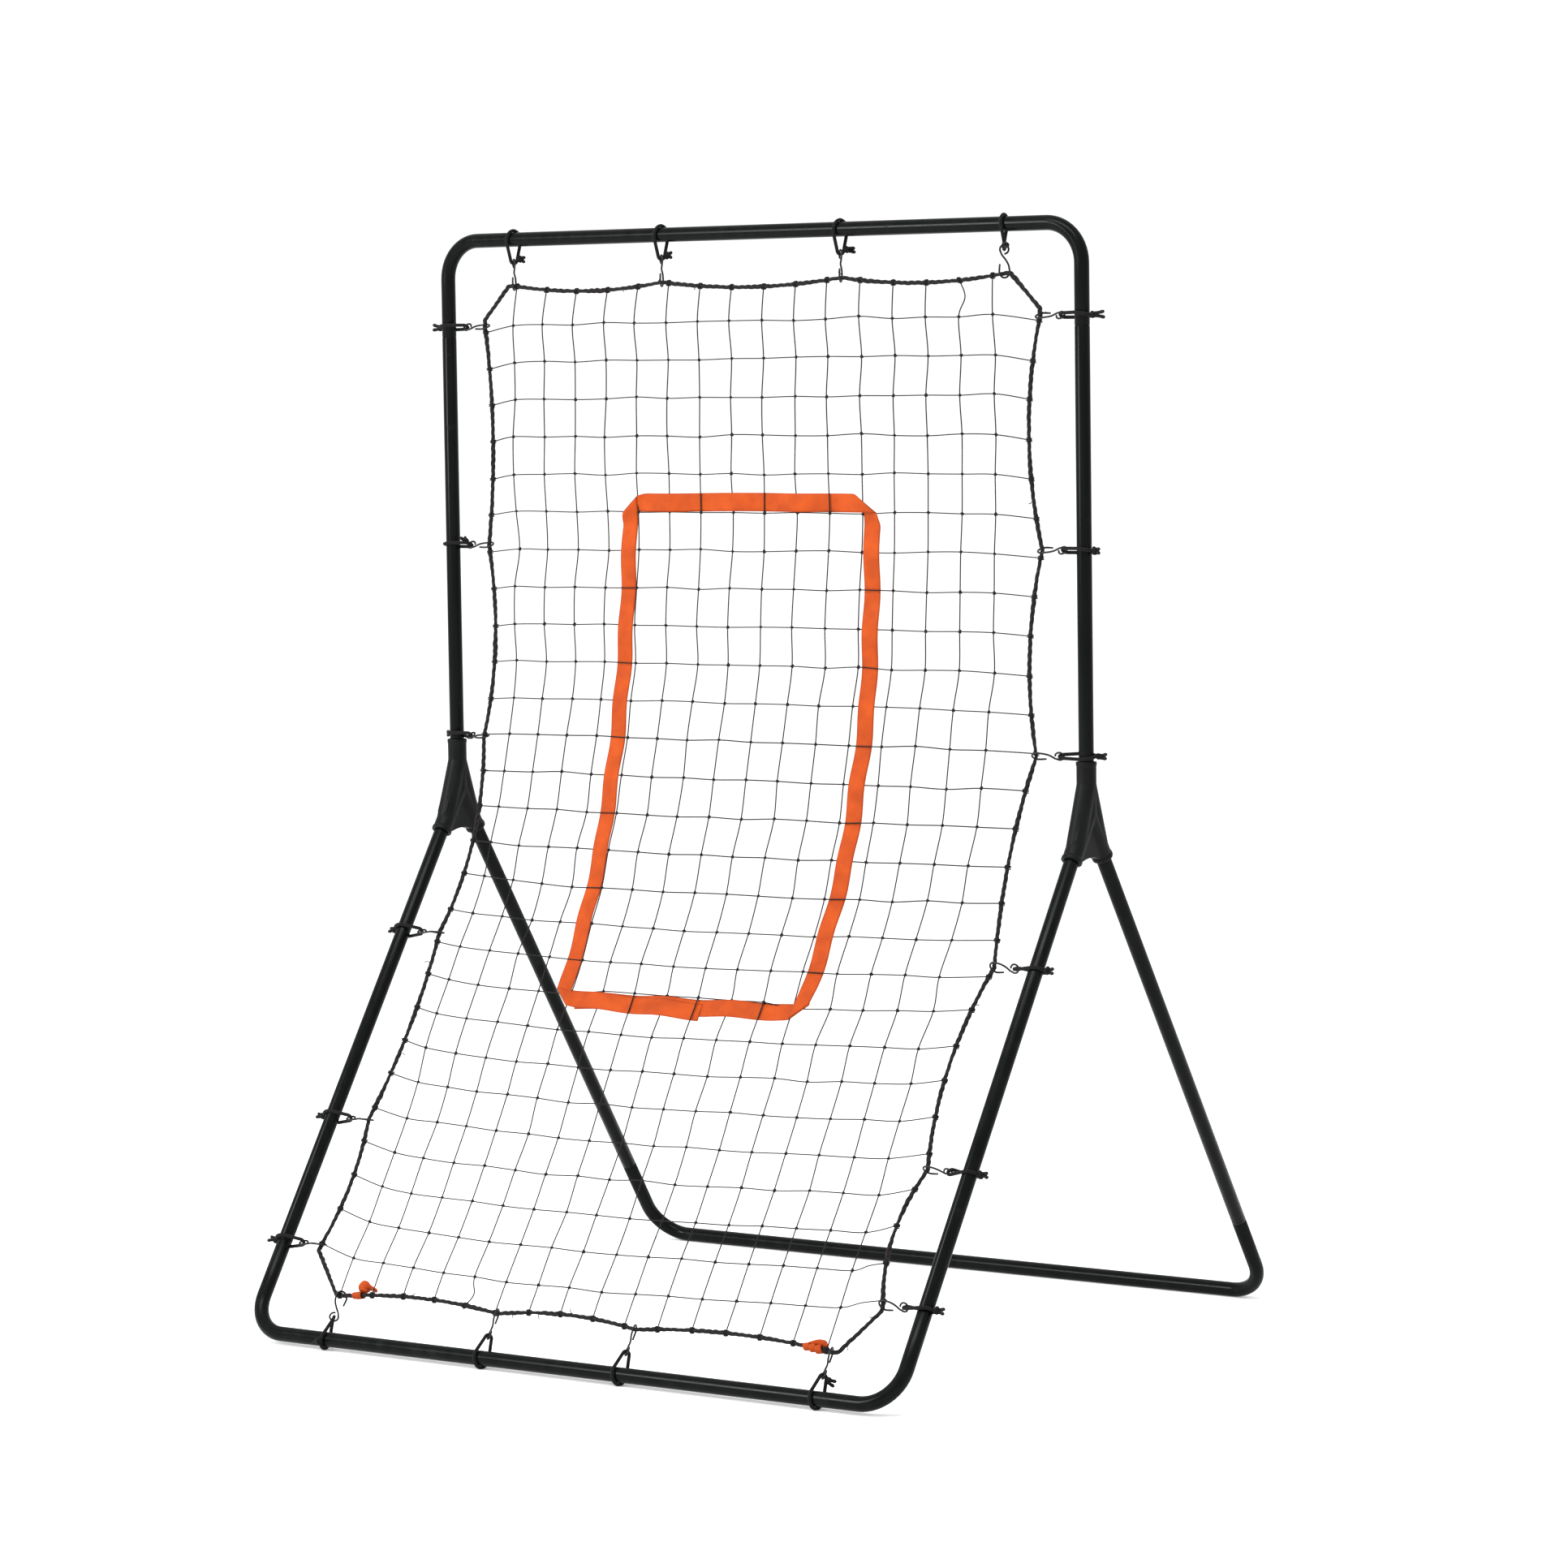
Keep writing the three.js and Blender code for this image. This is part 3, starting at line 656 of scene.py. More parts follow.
def fork_shape(bm):
    """Three sleeves with lips and the flat web of the fork, overlapping, round the origin."""
    for direction, length in ((UP, SLEEVE_TOP), (FRONT_LEG, SLEEVE_LEG), (REAR_LEG, SLEEVE_LEG)):
        cylinder(bm, Vector(), direction, SLEEVE, length)
        lip = LIP if direction != UP else SLEEVE + 0.6 * MM
        cylinder(bm, direction * (length - LIP_LENGTH), direction, lip, LIP_LENGTH)
    for leg in (FRONT_LEG, REAR_LEG):
        skin(bm, leg)
    # The web from the side: the middle and half width of its feet, how far it is set in and how low
    # the crown between its feet is.
    shoulder, foot, half, inset, crown = SHOULDER * MM, 52 * MM, 14 * MM, 7 * MM, -50 * MM
    front, rear = FRONT_LEG * foot, REAR_LEG * foot
    outline = [(-inset, shoulder), (front.y - inset, front.z + half),
               (front.y + inset, front.z - half)]
    begin, end = outline[-1], (rear.y - inset, rear.z - half)
    for i in range(1, 12):
        t = i / 12
        outline.append([begin[k] * (1 - t) ** 2 + 2 * (0, crown)[k] * t * (1 - t) + end[k] * t**2
                        for k in (0, 1)])
    outline += [end, (rear.y + inset, rear.z + half), (inset, shoulder)]
    faces = [[bm.verts.new((x, y, z)) for y, z in outline] for x in (-WEB / 2, WEB / 2)]
    bm.faces.new(faces[0])
    bm.faces.new(faces[1][::-1])
    for i in range(len(outline)):
        a, b = i, (i + 1) % len(outline)
        bm.faces.new((faces[0][b], faces[0][a], faces[1][a], faces[1][b]))


def sockets(bm):
    """The bores that the three tubes go into."""
    for direction in (UP, FRONT_LEG, REAR_LEG):
        start = direction * (SOCKET_START - 0.5 * MM)
        cylinder(bm, start, direction, TUBE + 0.55 * MM, 2 * SLEEVE_LEG)


def moulded_fork():
    """The connector's mesh round the origin: sleeves and web melted together with soft fillets."""
    fork = mesh_of(fork_shape)
    fork.modifiers.new("melt", "REMESH").voxel_size = 0.9 * MM
    fork.modifiers.new("soften", "SMOOTH").iterations = 5
    bores = mesh_of(sockets)
    cut = fork.modifiers.new("bores", "BOOLEAN")
    cut.object = bores
    cut.solver = "EXACT"
    cut.use_self = True
    graph = bpy.context.evaluated_depsgraph_get()
    mesh = bpy.data.meshes.new_from_object(fork.evaluated_get(graph))
    for shape in (fork, bores):
        bpy.data.objects.remove(shape)
    mesh.polygons.foreach_set("use_smooth", np.ones(len(mesh.polygons), bool))
    mesh.set_sharp_from_angle(angle=50 * DEGREE)
    mesh.materials.clear()
    mesh.materials.append(PLASTIC)
    return mesh


fork_mesh = moulded_fork()
for side, hand in HANDS:
    mesh = fork_mesh.copy()
    mesh.transform(Matrix.Translation(BEND + X * side * HALF))
    connector = linked(f"y_connector_{hand}_moulded", mesh)
    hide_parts(f"y_connector_{hand}")
    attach(connector, "frame")
bpy.data.meshes.remove(fork_mesh)

# ---- Border rope ----


def rope_outline():
    """The rope's closed line round the net as (x, s), clockwise from the top left hook."""
    hooks = [(x, ROPE_TOP, (1, 0), (0, -END_SCALLOP)) for x in TOP_HOOKS]
    hooks += [(ROPE_SIDE, s, (0, -1), (-RIGHT_SCALLOP, 0)) for s in SIDE_HOOKS]
    hooks += [(x, ROPE_BOTTOM, (-1, 0), (0, END_SCALLOP)) for x in reversed(BOTTOM_HOOKS)]
    hooks += [(-ROPE_SIDE, s, (0, 1), (LEFT_SCALLOP, 0)) for s in reversed(SIDE_HOOKS)]
    outline = []
    for (x, s, run, bow), following in zip(hooks, hooks[1:] + hooks[:1]):
        next_x, next_s, next_run, _ = following
        if run == next_run:
            for i in range(12):
                t = i / 12
                arch = 4 * t * (1 - t)
                outline.append((x + (next_x - x) * t + bow[0] * arch,
                                s + (next_s - s) * t + bow[1] * arch))
            continue
        start = (x + CORNER_RUN * run[0], s + CORNER_RUN * run[1])
        stop = (next_x - CORNER_RUN * next_run[0], next_s - CORNER_RUN * next_run[1])
        outline.append((x, s))
        outline += [[a + (b - a) * i / 6 for a, b in zip(start, stop)] for i in range(7)]
    return outline


OUTLINE = rope_outline()


def rope_at(axis, value, far):
    """Where the rope crosses a line of constant x (axis 0) or s (axis 1), far or near."""
    found = []
    for a, b in zip(OUTLINE, OUTLINE[1:] + OUTLINE[:1]):
        if (a[axis] - value) * (b[axis] - value) <= 0 and a[axis] != b[axis]:
            t = (value - a[axis]) / (b[axis] - a[axis])
            found.append(a[1 - axis] + (b[1 - axis] - a[1 - axis]) * t)
    return max(found) if far else min(found)


STRAND = 1.6 * MM
STRAND_OFFSET = 1.3 * MM
ROPE_PITCH = 30 * MM
ROPE_STEP = 2 * MM
LOOSE_FIBRES = 26


def border_rope():
    """Three strands laid round each other, a little loose, with short stray fibres."""
    line = resampled([on_net(x, s) for x, s in OUTLINE], ROPE_STEP)
    array = np.array([list(p) for p in line])
    _, one, two = sides_along(array, True, None)
    count = len(line)
    turns = round(count * ROPE_STEP / ROPE_PITCH)
    place = np.arange(count) / count * 2 * math.pi
    draw = random.Random(3)
    loose = sum(draw.uniform(0.03, 0.11) * np.sin(k * place + draw.uniform(0, 6))
                for k in range(20, 90, 7))
    piece = Piece()
    for strand in range(3):
        angle = (place * turns + strand * 2 * math.pi / 3 + 0.6 * loose)[:, None]
        offset = (STRAND_OFFSET * (1 + loose))[:, None]
        spiral = array + (np.cos(angle) * one + np.sin(angle) * two) * offset
        plump = STRAND * (1 + 0.5 * np.roll(loose, 97 * strand))
        piece.tube(list(spiral), plump, 8, closed=True)
    for _ in range(LOOSE_FIBRES):
        i = draw.randrange(count)
        outward = Vector(one[i]) * draw.uniform(-1, 1) + Vector(two[i]) * draw.uniform(-1, 1)
        outward = outward.normalized()
        along = Vector(array[(i + 1) % count] - array[i]).normalized()
        foot = line[i] + outward * 2.6 * MM
        tip = foot + (outward + along * draw.uniform(-0.8, 0.8)) * draw.uniform(3, 7) * MM
        piece.tube(rounded([foot, foot.lerp(tip, 0.5) + along * MM, tip], 3), 0.55 * MM, 5)
    obj = piece.make("border_rope_laid", ROPE_YARN)
    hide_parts("border_rope")
    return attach(obj, "net")


border_rope()

# ---- Net ----

TWINE_RADIUS = 0.8 * MM
TWINE_LAYER = 0.5 * MM  # the columns lie this far in front of the net's middle, the rows behind it
MESH = 50.3 * MM
COLUMNS = 16
ROWS = 27
FIRST_ROW = 621.5 * MM
KNOT_SCALE = 0.56 * MM  # of the trefoil that stands for a netting knot
LASHING = 3.75 * MM  # radius of the twine's turns round the rope
GATHER_ABOVE = 0.014  # the shares by which the rope gathers the ends of the rows
GATHER_BELOW = 0.022
HANG = 11 * MM  # how far the middle of the lowest rows hangs below their ends
SHIFT = -9.5 * MM  # of all columns, to the left
MIDDLE_LEAN = 4.5 * MM  # how much farther left the middle rows are
FOOT_LEAN = 10.5 * MM  # how much farther right the lowest rows are
NARROW = 4  # millimetres that a row is narrower than its mesh
FOOT_NARROW = 6  # and the lowest rows beyond that
LIFT = 6.5 * MM  # how far the middle of the upper rows is raised above the first one
END_DROP = -3.5 * MM  # of the first row and of the lower ones
SLOPE = 3 * MM  # how much higher the right ends of the lowest rows are
COLUMN_SPREAD = 8 * MM  # how far right of its knots the leftmost column is lashed at the top
SLACK_COLUMN = 4  # has a loose bight above the bottom rope

net_draw = random.Random(11)


def net_knots():
    """The (x, s, out) of every knot, rows from the top and columns from the left. The rows lean
    left in the middle and right at the foot, get narrower downward and hang between their ends."""
    knots = []
    for j in range(ROWS):
        lean = MIDDLE_LEAN * math.exp(-(((j - 12) / 6) ** 2))
        lean -= FOOT_LEAN * smooth_step((j - 18) / 5)
        shift = SHIFT - lean + net_draw.gauss(0, 1.5) * MM
        narrow = (NARROW + FOOT_NARROW * smooth_step((j - 16) / 5)) * MM
        narrow += net_draw.gauss(0, 2.5) * MM
        lift = END_DROP + LIFT * math.sin(math.pi * min(j, 16) / 16)
        hang = HANG * smooth_step((j - 8) / 11)
        row = []
        for i in range(COLUMNS):
            across = i / (COLUMNS - 1)
            x = (i - (COLUMNS - 1) / 2) * MESH + shift + narrow * (0.5 - across)
            s = FIRST_ROW - j * MESH + lift + SLOPE * across * smooth_step((j - 14) / 8)
            s -= hang * math.sin(math.pi * across**0.8)
            x += net_draw.gauss(0, 0.6) * MM
            s += net_draw.gauss(0, 0.8) * MM
            row.append((*beside_strap(x, s), net_draw.gauss(0, 0.5) * MM))
        knots.append(row)
    return knots


def beside_strap(x, s):
    """The place moved off the strap's band, so that twines run along the strap's edges."""
    t = (s - ZONE_BOTTOM) / (ZONE_TOP - ZONE_BOTTOM)
    bulge = math.sin(math.pi * min(max(t, 0), 1))
    left = STRAP_LEFT + LEFT_FOOT * (1 - t) - LEFT_BOW * bulge
    right = ZONE_RIGHT - RIGHT_FOOT * (1 - t) + RIGHT_BOW * bulge
    if 0 < t < 1:
        for middle in (left, right):
            if abs(x - middle) < EDGE_CLEARANCE:
                return middle + math.copysign(EDGE_CLEARANCE, x - middle), s
    if left < x < right:
        for middle in (ZONE_BOTTOM + BOTTOM_RISE, ZONE_TOP + TOP_BOW):
            if abs(s - middle) < EDGE_CLEARANCE:
                return x, middle + math.copysign(EDGE_CLEARANCE, s - middle)
    return x, s


def trefoil(radius, scale, sides=5, steps=22):
    """A knot of cord round the origin, flat in X and Y."""
    points = []
    for k in range(steps):
        t = 2 * math.pi * k / steps
        points.append(Vector((math.sin(t) + 2 * math.sin(2 * t), math.cos(t) - 2 * math.cos(2 * t),
                              -1.3 * math.sin(3 * t))) * scale)
    piece = Piece()
    piece.tube(points, radius, sides, closed=True)
    return piece


def placing(centre, x_axis, y_axis):
    """A 4 by 4 placing as an array."""
    z_axis = x_axis.cross(y_axis).normalized()
    x_axis = y_axis.cross(z_axis).normalized()
    place = np.eye(4)
    for column, axis in enumerate((x_axis, y_axis.normalized(), z_axis, centre)):
        place[:3, column] = axis
    return place


def lashing(piece, x, s, rope_run, inward):
    """Turns of twine round the rope, ending at the side that faces the net."""
    centre = on_net(x, s)
    front = net_front(x, s)
    turns, steps, length = 2.4, 20, 4.5
    points = []
    for k in range(steps + 1):
        angle = -2 * math.pi * turns * (1 - k / steps)
        drift = rope_run * (k / steps - 0.5) * length * MM
        outward = inward * math.cos(angle) + front * math.sin(angle)
        points.append(centre + drift + outward * LASHING)
    piece.tube(points, TWINE_RADIUS * 0.95, 5)


def twine_path(start, knots, stop, layer):
    """From the rope through the knots to the rope, that far in front of the net's middle."""
    return [on_net(*start), *(off_net(x, s, out + layer) for x, s, out in knots), on_net(*stop)]


def net():
    """Columns and rows of twine, a knot at every crossing and a lashing at every end."""
    knots = net_knots()
    piece = Piece()
    for i in range(COLUMNS):
        x_top = knots[0][i][0] + COLUMN_SPREAD * (1 - i / COLUMNS)
        x_bottom = knots[-1][i][0]
        top = (x_top, rope_at(0, x_top, True))
        bottom = (x_bottom, rope_at(0, x_bottom, False))
        path = twine_path(top, (row[i] for row in knots), bottom, TWINE_LAYER)
        if i == COLUMNS - 2:
            path.insert(1, path[0].lerp(path[1], 0.45) + X * 9 * MM)
        if i == SLACK_COLUMN:
            path.insert(-1, path[-2].lerp(path[-1], 0.6) + X * 8 * MM)
        piece.tube(rounded(path, 8), TWINE_RADIUS, 6)
        for (x, s), neighbour in ((top, path[1]), (bottom, path[-2])):
            lashing(piece, x, s, X, (neighbour - on_net(x, s)).normalized())
    for j, row in enumerate(knots):
        ends = []
        for side, k in ((-1, 0), (1, -1)):
            s = row[k][1]
            s_rope = s - s * (GATHER_ABOVE if s > 0 else GATHER_BELOW)
            ends.append((rope_at(1, s_rope, side > 0), s_rope))
        path = twine_path(ends[0], row, ends[1], -TWINE_LAYER)
        if j >= ROWS - 2:
            path.insert(-1, path[-2].lerp(path[-1], 0.5) + UP * 1.5 * MM)
        piece.tube(rounded(path, 8), TWINE_RADIUS, 6)
        for (x, s), neighbour in ((ends[0], path[1]), (ends[1], path[-2])):
            inward = (neighbour - on_net(x, s)).normalized()
            run = up_net(x, s).normalized()
            lashing(piece, x, s, run, (inward - run * inward.dot(run)).normalized())
    places = []
    for row in knots:
        for x, s, out in row:
            front = net_front(x, s)
            angle = net_draw.uniform(0, 2 * math.pi)
            along = front.cross(X)
            x_axis = X * math.cos(angle) + along * math.sin(angle)
            place = placing(off_net(x, s, out), x_axis, front.cross(x_axis))
            place[:3, :3] *= net_draw.uniform(0.92, 1.12)
            places.append(place)
    piece.copies(trefoil(0.9 * MM, KNOT_SCALE), places)
    obj = piece.make("net_knotted", TWINE)
    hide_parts("net")
    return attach(obj, "net")


net()

# ---- Target strap ----

STRAP_THICK = 0.9 * MM
FOLD_REACH = 42 * MM  # how far from a fold the rows of the mesh are still slanted
CURL_REACH = 20 * MM
SETTLE_REACH = 30 * MM  # how far from a fold the strap has come out of its weave
FOLD_OUT = 2.6 * MM  # the folds lie in front of the twines
STRAP_STEP = 4 * MM
LAYER = 0.75 * MM  # half of the distance between the strap's two layers at a fold
WEAVE = 2.4 * MM
TAIL = 220 * MM  # how far the strap's last end lies over its bottom side
DOUBLED = 0.65 * MM  # half of the distance between the two layers there
LAYER_REACH = 60 * MM  # how far from a fold its layers still lie apart
HIDDEN_START = 26 * MM  # from the left side to the strap's first end, behind the bottom side
CUP = 0.5 * MM  # how far the strap's middle stands in front of its edges
RIPPLE = 0.35 * MM

# The strap's bottom, right, top and left sides and its last end: how many millimetres along it the
# strap is farthest in front, how far it bows outward, and the curls and neighbours of strap_side.
STRAP_SIDES = (
    (38, -1 * MM, (None, 2), (None, 1)),
    (16, RIGHT_BOW, (1, 2.8), (2, 9)),
    (14, TOP_BOW, (9, 3), (2.8, 1)),
    (65, LEFT_BOW, (1, 0), (3, 0)),
    (60.5, 0, (0, None), (0, None)),
)


def strap_side(start, stop, outward, phase, bow, curls, neighbours):
    """Rows of one straight side of the strap, between the centres of two corners.
    Each row runs from the strap's outer edge to its inner edge and is slanted near a fold.
    A curl is how many millimetres the outer edge is drawn in beside the fold at that end, or None
    for a plain end, and neighbours are the curls of the sides beyond the folds."""
    run = (stop - start).normalized()
    length = (stop - start).length
    count = round(length / STRAP_STEP)
    rows = []
    for k in range(count + 1):
        along = length * k / count
        outer_run = inner_run = curl = 0.0
        settle = 1.0
        for to_fold, own, other, way in ((along, curls[0], neighbours[0], 1),
                                         (length - along, curls[1], neighbours[1], -1)):
            if own is not None:
                slant = way * (1 - smooth_step(to_fold / FOLD_REACH))
                outer_run += slant * STRAP / 2
                inner_run -= slant * (STRAP / 2 - other * MM)
                curl += own * MM * max(0, 1 - to_fold / CURL_REACH) ** 2
                settle = min(settle, smooth_step(to_fold / SETTLE_REACH))
        centre = start + run * along + outward * bow * math.sin(math.pi * along / length)
        outer = centre + outward * (STRAP / 2 - curl) + run * outer_run
        inner = centre - outward * STRAP / 2 + run * inner_run
        weave = WEAVE * (1 - 0.15 * abs(outward.x))
        weave *= math.cos(math.pi * (along - phase * MM) / MESH)
        weave += TWINE_LAYER * (abs(outward.y) - abs(outward.x))
        out = weave * settle + FOLD_OUT * (1 - settle)
        out += LAYER * (1 - smooth_step(along / LAYER_REACH))
        out -= LAYER * (1 - smooth_step((length - along) / LAYER_REACH))
        rows.append((outer, inner, out, along))
    return rows


def strap_rows():
    """All rows of the strap, from its hidden end near the bottom left corner once round the target.
    Its other end lies over the beginning of the bottom side."""
    low, left = ZONE_BOTTOM, STRAP_LEFT
    last = Vector((left + LEFT_FOOT, low + 1 * MM))
    corners = [Vector(p) for p in ((left + HIDDEN_START, low - 1 * MM),
                                   (ZONE_RIGHT - RIGHT_FOOT, low + 2 * MM),
                                   (ZONE_RIGHT, ZONE_TOP), (left, ZONE_TOP))]
    corners += [last, last + Vector((TAIL, -6 * MM))]
    outwards = [Vector(p) for p in ((0, -1), (1, 0), (0, 1), (-1, 0), (0, -1))]
    rows = []
    travelled = 0.0
    for k, shape in enumerate(STRAP_SIDES):
        side = strap_side(corners[k], corners[k + 1], outwards[k], *shape)
        for n, (outer, inner, out, along) in enumerate(side):
            if k % 2:
                outer, inner = inner, outer
            if k and n == 0:
                continue
            if k == 0:
                out -= DOUBLED * (1 - smooth_step((along - TAIL) / (30 * MM)))
            if k == 4:
                out += DOUBLED
            rows.append((outer, inner, out, travelled + along))
        travelled += (corners[k + 1] - corners[k]).length
    return rows


def strap():
    """The one strap of the target, folded over itself at its corners and woven through the mesh."""
    draw = random.Random(5)
    sway = [(draw.uniform(9, 40), draw.uniform(0, 6), draw.uniform(0.12, 0.3) * MM)
            for _ in range(6)]
    columns = 8
    rings, runs = [], []
    for one, two, out, along in strap_rows():
        drift = sum(size * math.sin(along * rate + start) for rate, start, size in sway)
        front, back, run = [], [], []
        for c in range(columns + 1):
            t = c / columns
            x, s = one.lerp(two, t) + Vector((drift, drift * 0.6))
            cup = CUP * (1 - (2 * t - 1) ** 2)
            ripple = RIPPLE * math.sin(along * 55 + t * 2.2) * (t - 0.5)
            half = STRAP_THICK / 2 * (0.72 if c in (0, columns) else 1.0)
            front.append(off_net(x, s, out + cup + ripple + half))
            back.append(off_net(x, s, out + cup + ripple - half))
            run.append((t, along))
        rings.append(front + back[::-1] + front[:1])
        runs.append(run + run[::-1] + run[:1])
    piece = Piece()
    piece.band(rings, runs)
    obj = piece.make("strike_zone_strap_webbing", WEBBING)
    weld(obj)
    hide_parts("strike_zone_strap")
    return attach(obj, "net")


def weld(obj):
    """Joins the points that lie on each other, and turns all faces outward."""
    bm = bmesh.new()
    bm.from_mesh(obj.data)
    bmesh.ops.remove_doubles(bm, verts=bm.verts, dist=0.002 * MM)
    bmesh.ops.recalc_face_normals(bm, faces=bm.faces)
    bm.to_mesh(obj.data)
    bm.free()


strap()

# ---- Ribbon tags on the bottom rope ----

TAG_THICK = 0.6 * MM
TAG_WIDTH = 9 * MM  # where it is wound round the rope
TAG_RADIUS = 4.1 * MM
TAG_GROWTH = 0.9 * MM  # how much wider the last turn is than the first


def ribbon(name, node, path, widths, tilts):
    """A narrow ribbon along a path: its width and the direction of its width at each point."""
    line = rounded(path, 6)
    count = len(line)
    places = np.linspace(0, len(path) - 1, count)
    width = np.interp(places, range(len(path)), widths)
    tilt = [np.interp(places, range(len(path)), axis) for axis in zip(*tilts)]
    rings, runs = [], []
    along = 0.0
    for k, point in enumerate(line):
        run = (line[min(k + 1, count - 1)] - line[max(k - 1, 0)]).normalized()
        across = Vector([axis[k] for axis in tilt])
        across = (across - run * across.dot(run)).normalized()
        normal = across.cross(run)
        if k:
            along += (point - line[k - 1]).length
        ring, run_row = [], []
        for t, out in ((0, 0.4), (0.25, 1), (0.5, 1), (0.75, 1), (1, 0.4),
                       (1, -0.4), (0.75, -1), (0.5, -1), (0.25, -1), (0, -0.4)):
            ring.append(point + across * (t - 0.5) * width[k] + normal * out * TAG_THICK / 2)
            run_row.append((t, along))
        rings.append(ring + ring[:1])
        runs.append(run_row + run_row[:1])
    piece = Piece()
    piece.band(rings, runs)
    obj = piece.make(name, WEBBING)
    weld(obj)
    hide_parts(node)
    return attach(obj, "net")


def tag(name, node, x, winds, length, flag):
    """A ribbon wound along that length of the rope. Its end is a flag, given from the last turn by
    millimetres to the right, up and toward the player, its width and the direction of its width."""
    up = -FRONT_LEG
    front = X.cross(up).normalized()
    path, widths, tilts = [], [], []
    steps = 7 * winds
    for k in range(steps + 1):
        t = k / steps
        angle = 2 * math.pi * winds * t
        around = up * math.cos(angle) + front * math.sin(angle)
        here = x + length * (t - 0.5)
        path.append(on_net(here, rope_at(0, here, False)) + around * (TAG_RADIUS + TAG_GROWTH * t))
        widths.append(TAG_WIDTH)
        tilts.append(X + up * 0.2)
    last = path[-1]
    for right, rise, toward, width, tilt in flag:
        path.append(last + X * right * MM + up * rise * MM + front * toward * MM)
        widths.append(width * MM)
        tilts.append(Vector(tilt))
    return ribbon(name, node, path, widths, tilts)


tag("ribbon_tag_left_tied", "ribbon_tag_left", -343 * MM, 2, 9 * MM,
    [(1, 2, 3, 14, (1, 0, 0.2)), (2, 5, 3, 17, (1, 0.4, -0.2)), (8, 7, 1, 16, (0.7, 0.6, -0.9)),
     (15, 5, -1, 10, (0.3, 0.5, -1)), (21, 4, -1, 4, (0.1, 0.2, -1))])
tag("ribbon_tag_right_tied", "ribbon_tag_right", 357 * MM, 3, 27 * MM,
    [(-2, 1, 0.6, 13, (1, 0, 0.4)), (-9, 1.6, 0.9, 12, (0.8, 0, 0.8)),
     (-18, 0, 0.9, 9, (0.4, 0, 1)), (-26, -2, 0.6, 6, (0.3, 0, 1))])

# ---- Elastic loops and S-hooks ----

joints = {j["name"]: j for j in frame["record"]["behaviour"]["joints"]}


class Attachment:
    """One loop and hook: the points on the rope and on the tube's axis, and their directions."""

    def __init__(self, number, tube, rope_run, tube_run):
        self.name = f"{number:02d}"
        self.rope = Vector(joints[f"hook_{self.name}_swing"]["pos_m"])
        self.tube = tube
        self.tube_run = tube_run
        self.reach = (tube - self.rope).normalized()
        self.across = (rope_run - self.reach * rope_run.dot(self.reach)).normalized()
        self.normal = self.reach.cross(self.across)
        self.twist, self.knot, self.knot_size, self.tail = TIES[number - 1]

    def side(self, turn):
        """The direction square to the reach, turned from the net's normal towards the rope."""
        return self.normal * math.cos(turn) + self.across * math.sin(turn)


def attachments():
    made = []
    for x in TOP_HOOKS:
        made.append(Attachment(len(made) + 1, TOP_BAR + X * x, X, X))
    for side in (-1, 1):
        for s in SIDE_HOOKS:
            x = side * ROPE_SIDE
            tube = on_frame(side * HALF, max(s, LOWEST_UPRIGHT_LOOP) if s > 0 else s)
            made.append(Attachment(len(made) + 1, tube, up_net(x, s), UP if s > 0 else -FRONT_LEG))
    for x in BOTTOM_HOOKS:
        made.append(Attachment(len(made) + 1, FRONT_BAR + X * x, X, X))
    return made


WRAP = TUBE + CORD + 0.15 * MM
WRAP_ANGLE = 105
CORD_STEP = 2.2 * MM
SLACK = 1.5 * MM  # how far the bight hangs short of the end of the hook's eye, for the net's motion
LOOP_KNOT = 1.28 * MM  # scale of the trefoil in an elastic loop's knot
EYE_KNOT = 3 * MM  # from the side of the bight to the middle of a knot beside it
TUBE_KNOT = 3.4 * MM  # from the cord round the tube to the middle of a knot on it
FLOOR_CLEARANCE = 0.1 * MM  # the cord under the front bar is pressed flat this far above the floor
CORD_END = 2.5  # millimetres that even the shortest end of cord stands out of its knot
# The hook's shank from throat to eye, in millimetres: towards the tube, and to the throat's side.
SHANK = ((10.5, 6.2), (17, 1.5), (23, -3.2))
HOOK_TAIL = (8, 0.8)  # how far the throat's free end runs on, and how far it leans in


def cord_tail(piece, start, direction, bend, length):
    """A short end of cord with its melted, slightly wider tip."""
    direction = direction.normalized()
    tip = start + direction * length
    line = rounded([start, start + direction * length * 0.5 + bend, tip], 5)
    radii = [CORD * 0.95] * (len(line) - 2) + [CORD, CORD * 1.05]
    piece.tube(line, radii, 9)
    end = (line[-1] - line[-2]).normalized()
    piece.tube([tip + end * 0.3 * MM, tip + end * 1.3 * MM], [CORD * 1.1, CORD], 10, slot=1)


def loop_knot(piece, place, knot_at, outward, along):
    """An overhand knot with its two ends: lumpy cord round the knot's centre."""
    draw = random.Random(int(place.name))
    side = outward.cross(along).normalized()
    turn = draw.uniform(-0.5, 0.5)
    x_axis = along * math.cos(turn) + side * math.sin(turn)
    size = LOOP_KNOT * place.knot_size
    knot = placing(knot_at, x_axis, outward.cross(x_axis))
    piece.copies(trefoil(CORD * 0.95, size, 8, 34), [knot])
    for sign in (-1, 1):
        direction = outward + along * sign * draw.uniform(0.0, 0.22)
        direction += side * sign * draw.uniform(-0.1, 0.3)
        bend = along * sign * draw.uniform(-0.9, 0.2) * MM
        start = knot_at + outward * 1.5 * MM + along * sign * 1.7 * MM
        length = (place.tail * draw.uniform(0.8, 1.1) + CORD_END) * MM
        cord_tail(piece, start, direction, bend, length)


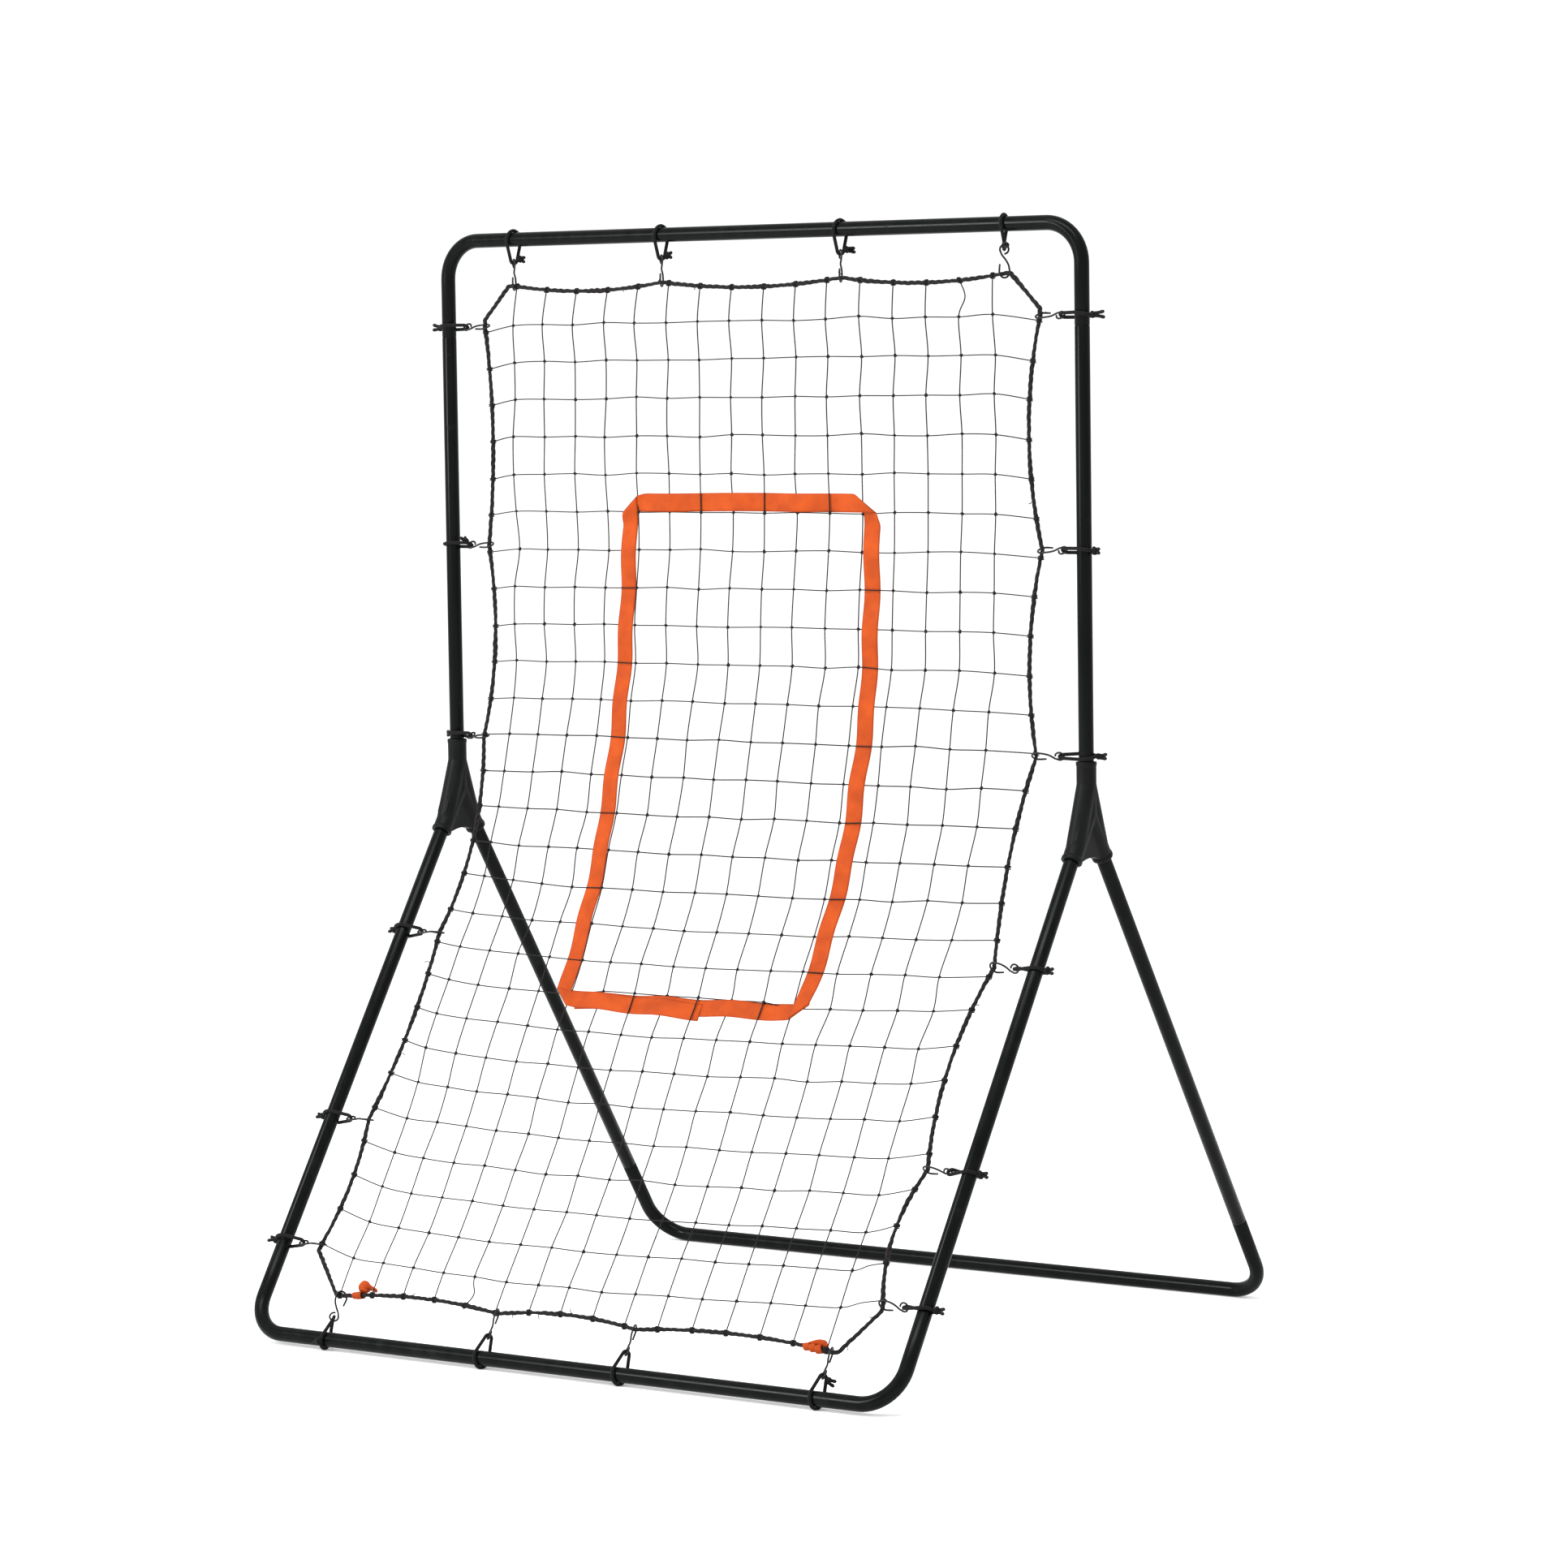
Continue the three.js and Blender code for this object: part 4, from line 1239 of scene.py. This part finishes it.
def elastic_loop(place):
    """Cord round the tube, its bight through the hook's eye, and its knot."""
    reach, tube = place.reach, place.tube
    wrap_side = reach.cross(place.tube_run).normalized()
    loop_side = place.side(place.twist * EYE_TURN + math.pi / 2)
    slant = LOOP_SLANT * math.copysign(1, loop_side.dot(place.tube_run))
    pairing = math.copysign(1, loop_side.dot(wrap_side))
    steps = 24
    around = arc(tube, WRAP, reach, wrap_side, -WRAP_ANGLE * pairing, WRAP_ANGLE * pairing, steps)
    around = [p + place.tube_run * slant * (i / steps * 2 - 1) for i, p in enumerate(around)]
    eye_end = place.rope + reach * HOOK_REACH
    bight = arc(eye_end - reach * SLACK, BIGHT, reach, loop_side, 90, 270, 10)
    piece = Piece()
    piece.tube(resampled(around + bight, CORD_STEP), CORD, 10, closed=True)
    if place.knot == "eye":
        loop_knot(piece, place, eye_end + loop_side * (BIGHT + EYE_KNOT), loop_side, reach)
    else:
        outward = {"outside": reach, "front": -BACK, "back": BACK}[place.knot]
        along = place.tube_run if place.knot == "outside" else wrap_side.cross(outward)
        loop_knot(piece, place, tube + outward * (WRAP + TUBE_KNOT), outward, along)
    for verts in piece.verts:
        verts[:, 2] = np.maximum(verts[:, 2], FLOOR_CLEARANCE)
    obj = piece.make(f"elastic_loop_{place.name}_cord", ELASTIC, MELTED)
    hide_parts(f"elastic_loop_{place.name}")
    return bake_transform(obj)


def s_hook(place):
    """An S of wire: an open throat round the rope and a closed eye round the elastic loop."""
    reach, rope, twist = place.reach, place.rope, place.twist
    throat = place.side(twist * THROAT_TURN)
    eye = place.side(twist * EYE_TURN)

    def at(along, side, turn):
        return rope + reach * along * MM + place.side(twist * turn) * side * MM

    tail = at(THROAT_OFFSET / MM + HOOK_TAIL[0], HOOK_TAIL[1] - THROAT / MM, THROAT_TURN)
    turns = (THROAT_TURN, (THROAT_TURN + EYE_TURN) / 2, EYE_TURN)
    shank = [at(along, side, turn) for (along, side), turn in zip(SHANK, turns)]
    line = [tail] + arc(rope + reach * THROAT_OFFSET, THROAT, reach, throat, 270, 90, 8) + shank
    line += arc(rope + reach * (HOOK_REACH - EYE), EYE, reach, eye, 230, 530, 14)
    piece = Piece()
    piece.tube(rounded(line, 3), WIRE, 10, hint=reach.cross(throat))
    obj = piece.make(f"s_hook_{place.name}_wire", STEEL_WIRE)
    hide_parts(f"s_hook_{place.name}")
    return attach(obj, f"hook_{place.name}")


for place in attachments():
    elastic_loop(place)
    s_hook(place)

# ---- Camera, floor and light ----


def camera():
    """The camera stands in front and to the right, low, with a long lens."""
    azimuth, elevation, roll = 34.32 * DEGREE, 4.61 * DEGREE, -0.0141
    data = bpy.data.cameras.new("camera")
    data.sensor_width = 36
    data.lens = 118.3
    data.clip_end = 100
    obj = linked("camera", data)
    place = Matrix.Translation((3.769, -5.4555, 1.235))
    for angle, axis in ((azimuth, "Z"), (math.pi / 2 - elevation, "X"), (roll, "Z")):
        place @= Matrix.Rotation(angle, 4, axis)
    obj.matrix_world = place
    bpy.context.scene.camera = obj


def floor():
    """A wide pale floor at the height that the frame stands on."""
    mesh = bpy.data.meshes.new("floor")
    far = 60
    mesh.from_pydata([(-far, -far, 0), (far, -far, 0), (far, far, 0), (-far, far, 0)], [],
                     [(0, 1, 2, 3)])
    mesh.materials.append(floor_paint())
    obj = linked("floor", mesh)


def soft_light(name, position, target, size, power):
    data = bpy.data.lights.new(name, "AREA")
    data.shape = "RECTANGLE"
    data.size, data.size_y = size
    data.energy = power
    obj = linked(name, data)
    obj.location = position
    obj.rotation_euler = (Vector(target) - Vector(position)).to_track_quat("-Z", "Y").to_euler()


def studio():
    """A bright even surround with a soft key from the front left and a weaker one from above."""
    world = bpy.data.worlds.new("studio")
    bpy.context.scene.world = world
    world.use_nodes = True
    background = world.node_tree.nodes["Background"]
    background.inputs["Color"].default_value = (1, 1, 1, 1)
    background.inputs["Strength"].default_value = 1.08
    bpy.context.scene.view_settings.view_transform = "Standard"
    soft_light("key", (-2.6, -4.4, 2.6), (0, 0, 0.7), size=(0.9, 1.8), power=190)
    soft_light("over", (0.4, -2.2, 4.4), (0, 0, 0.3), size=(3.5, 0.8), power=130)


camera()
floor()
studio()
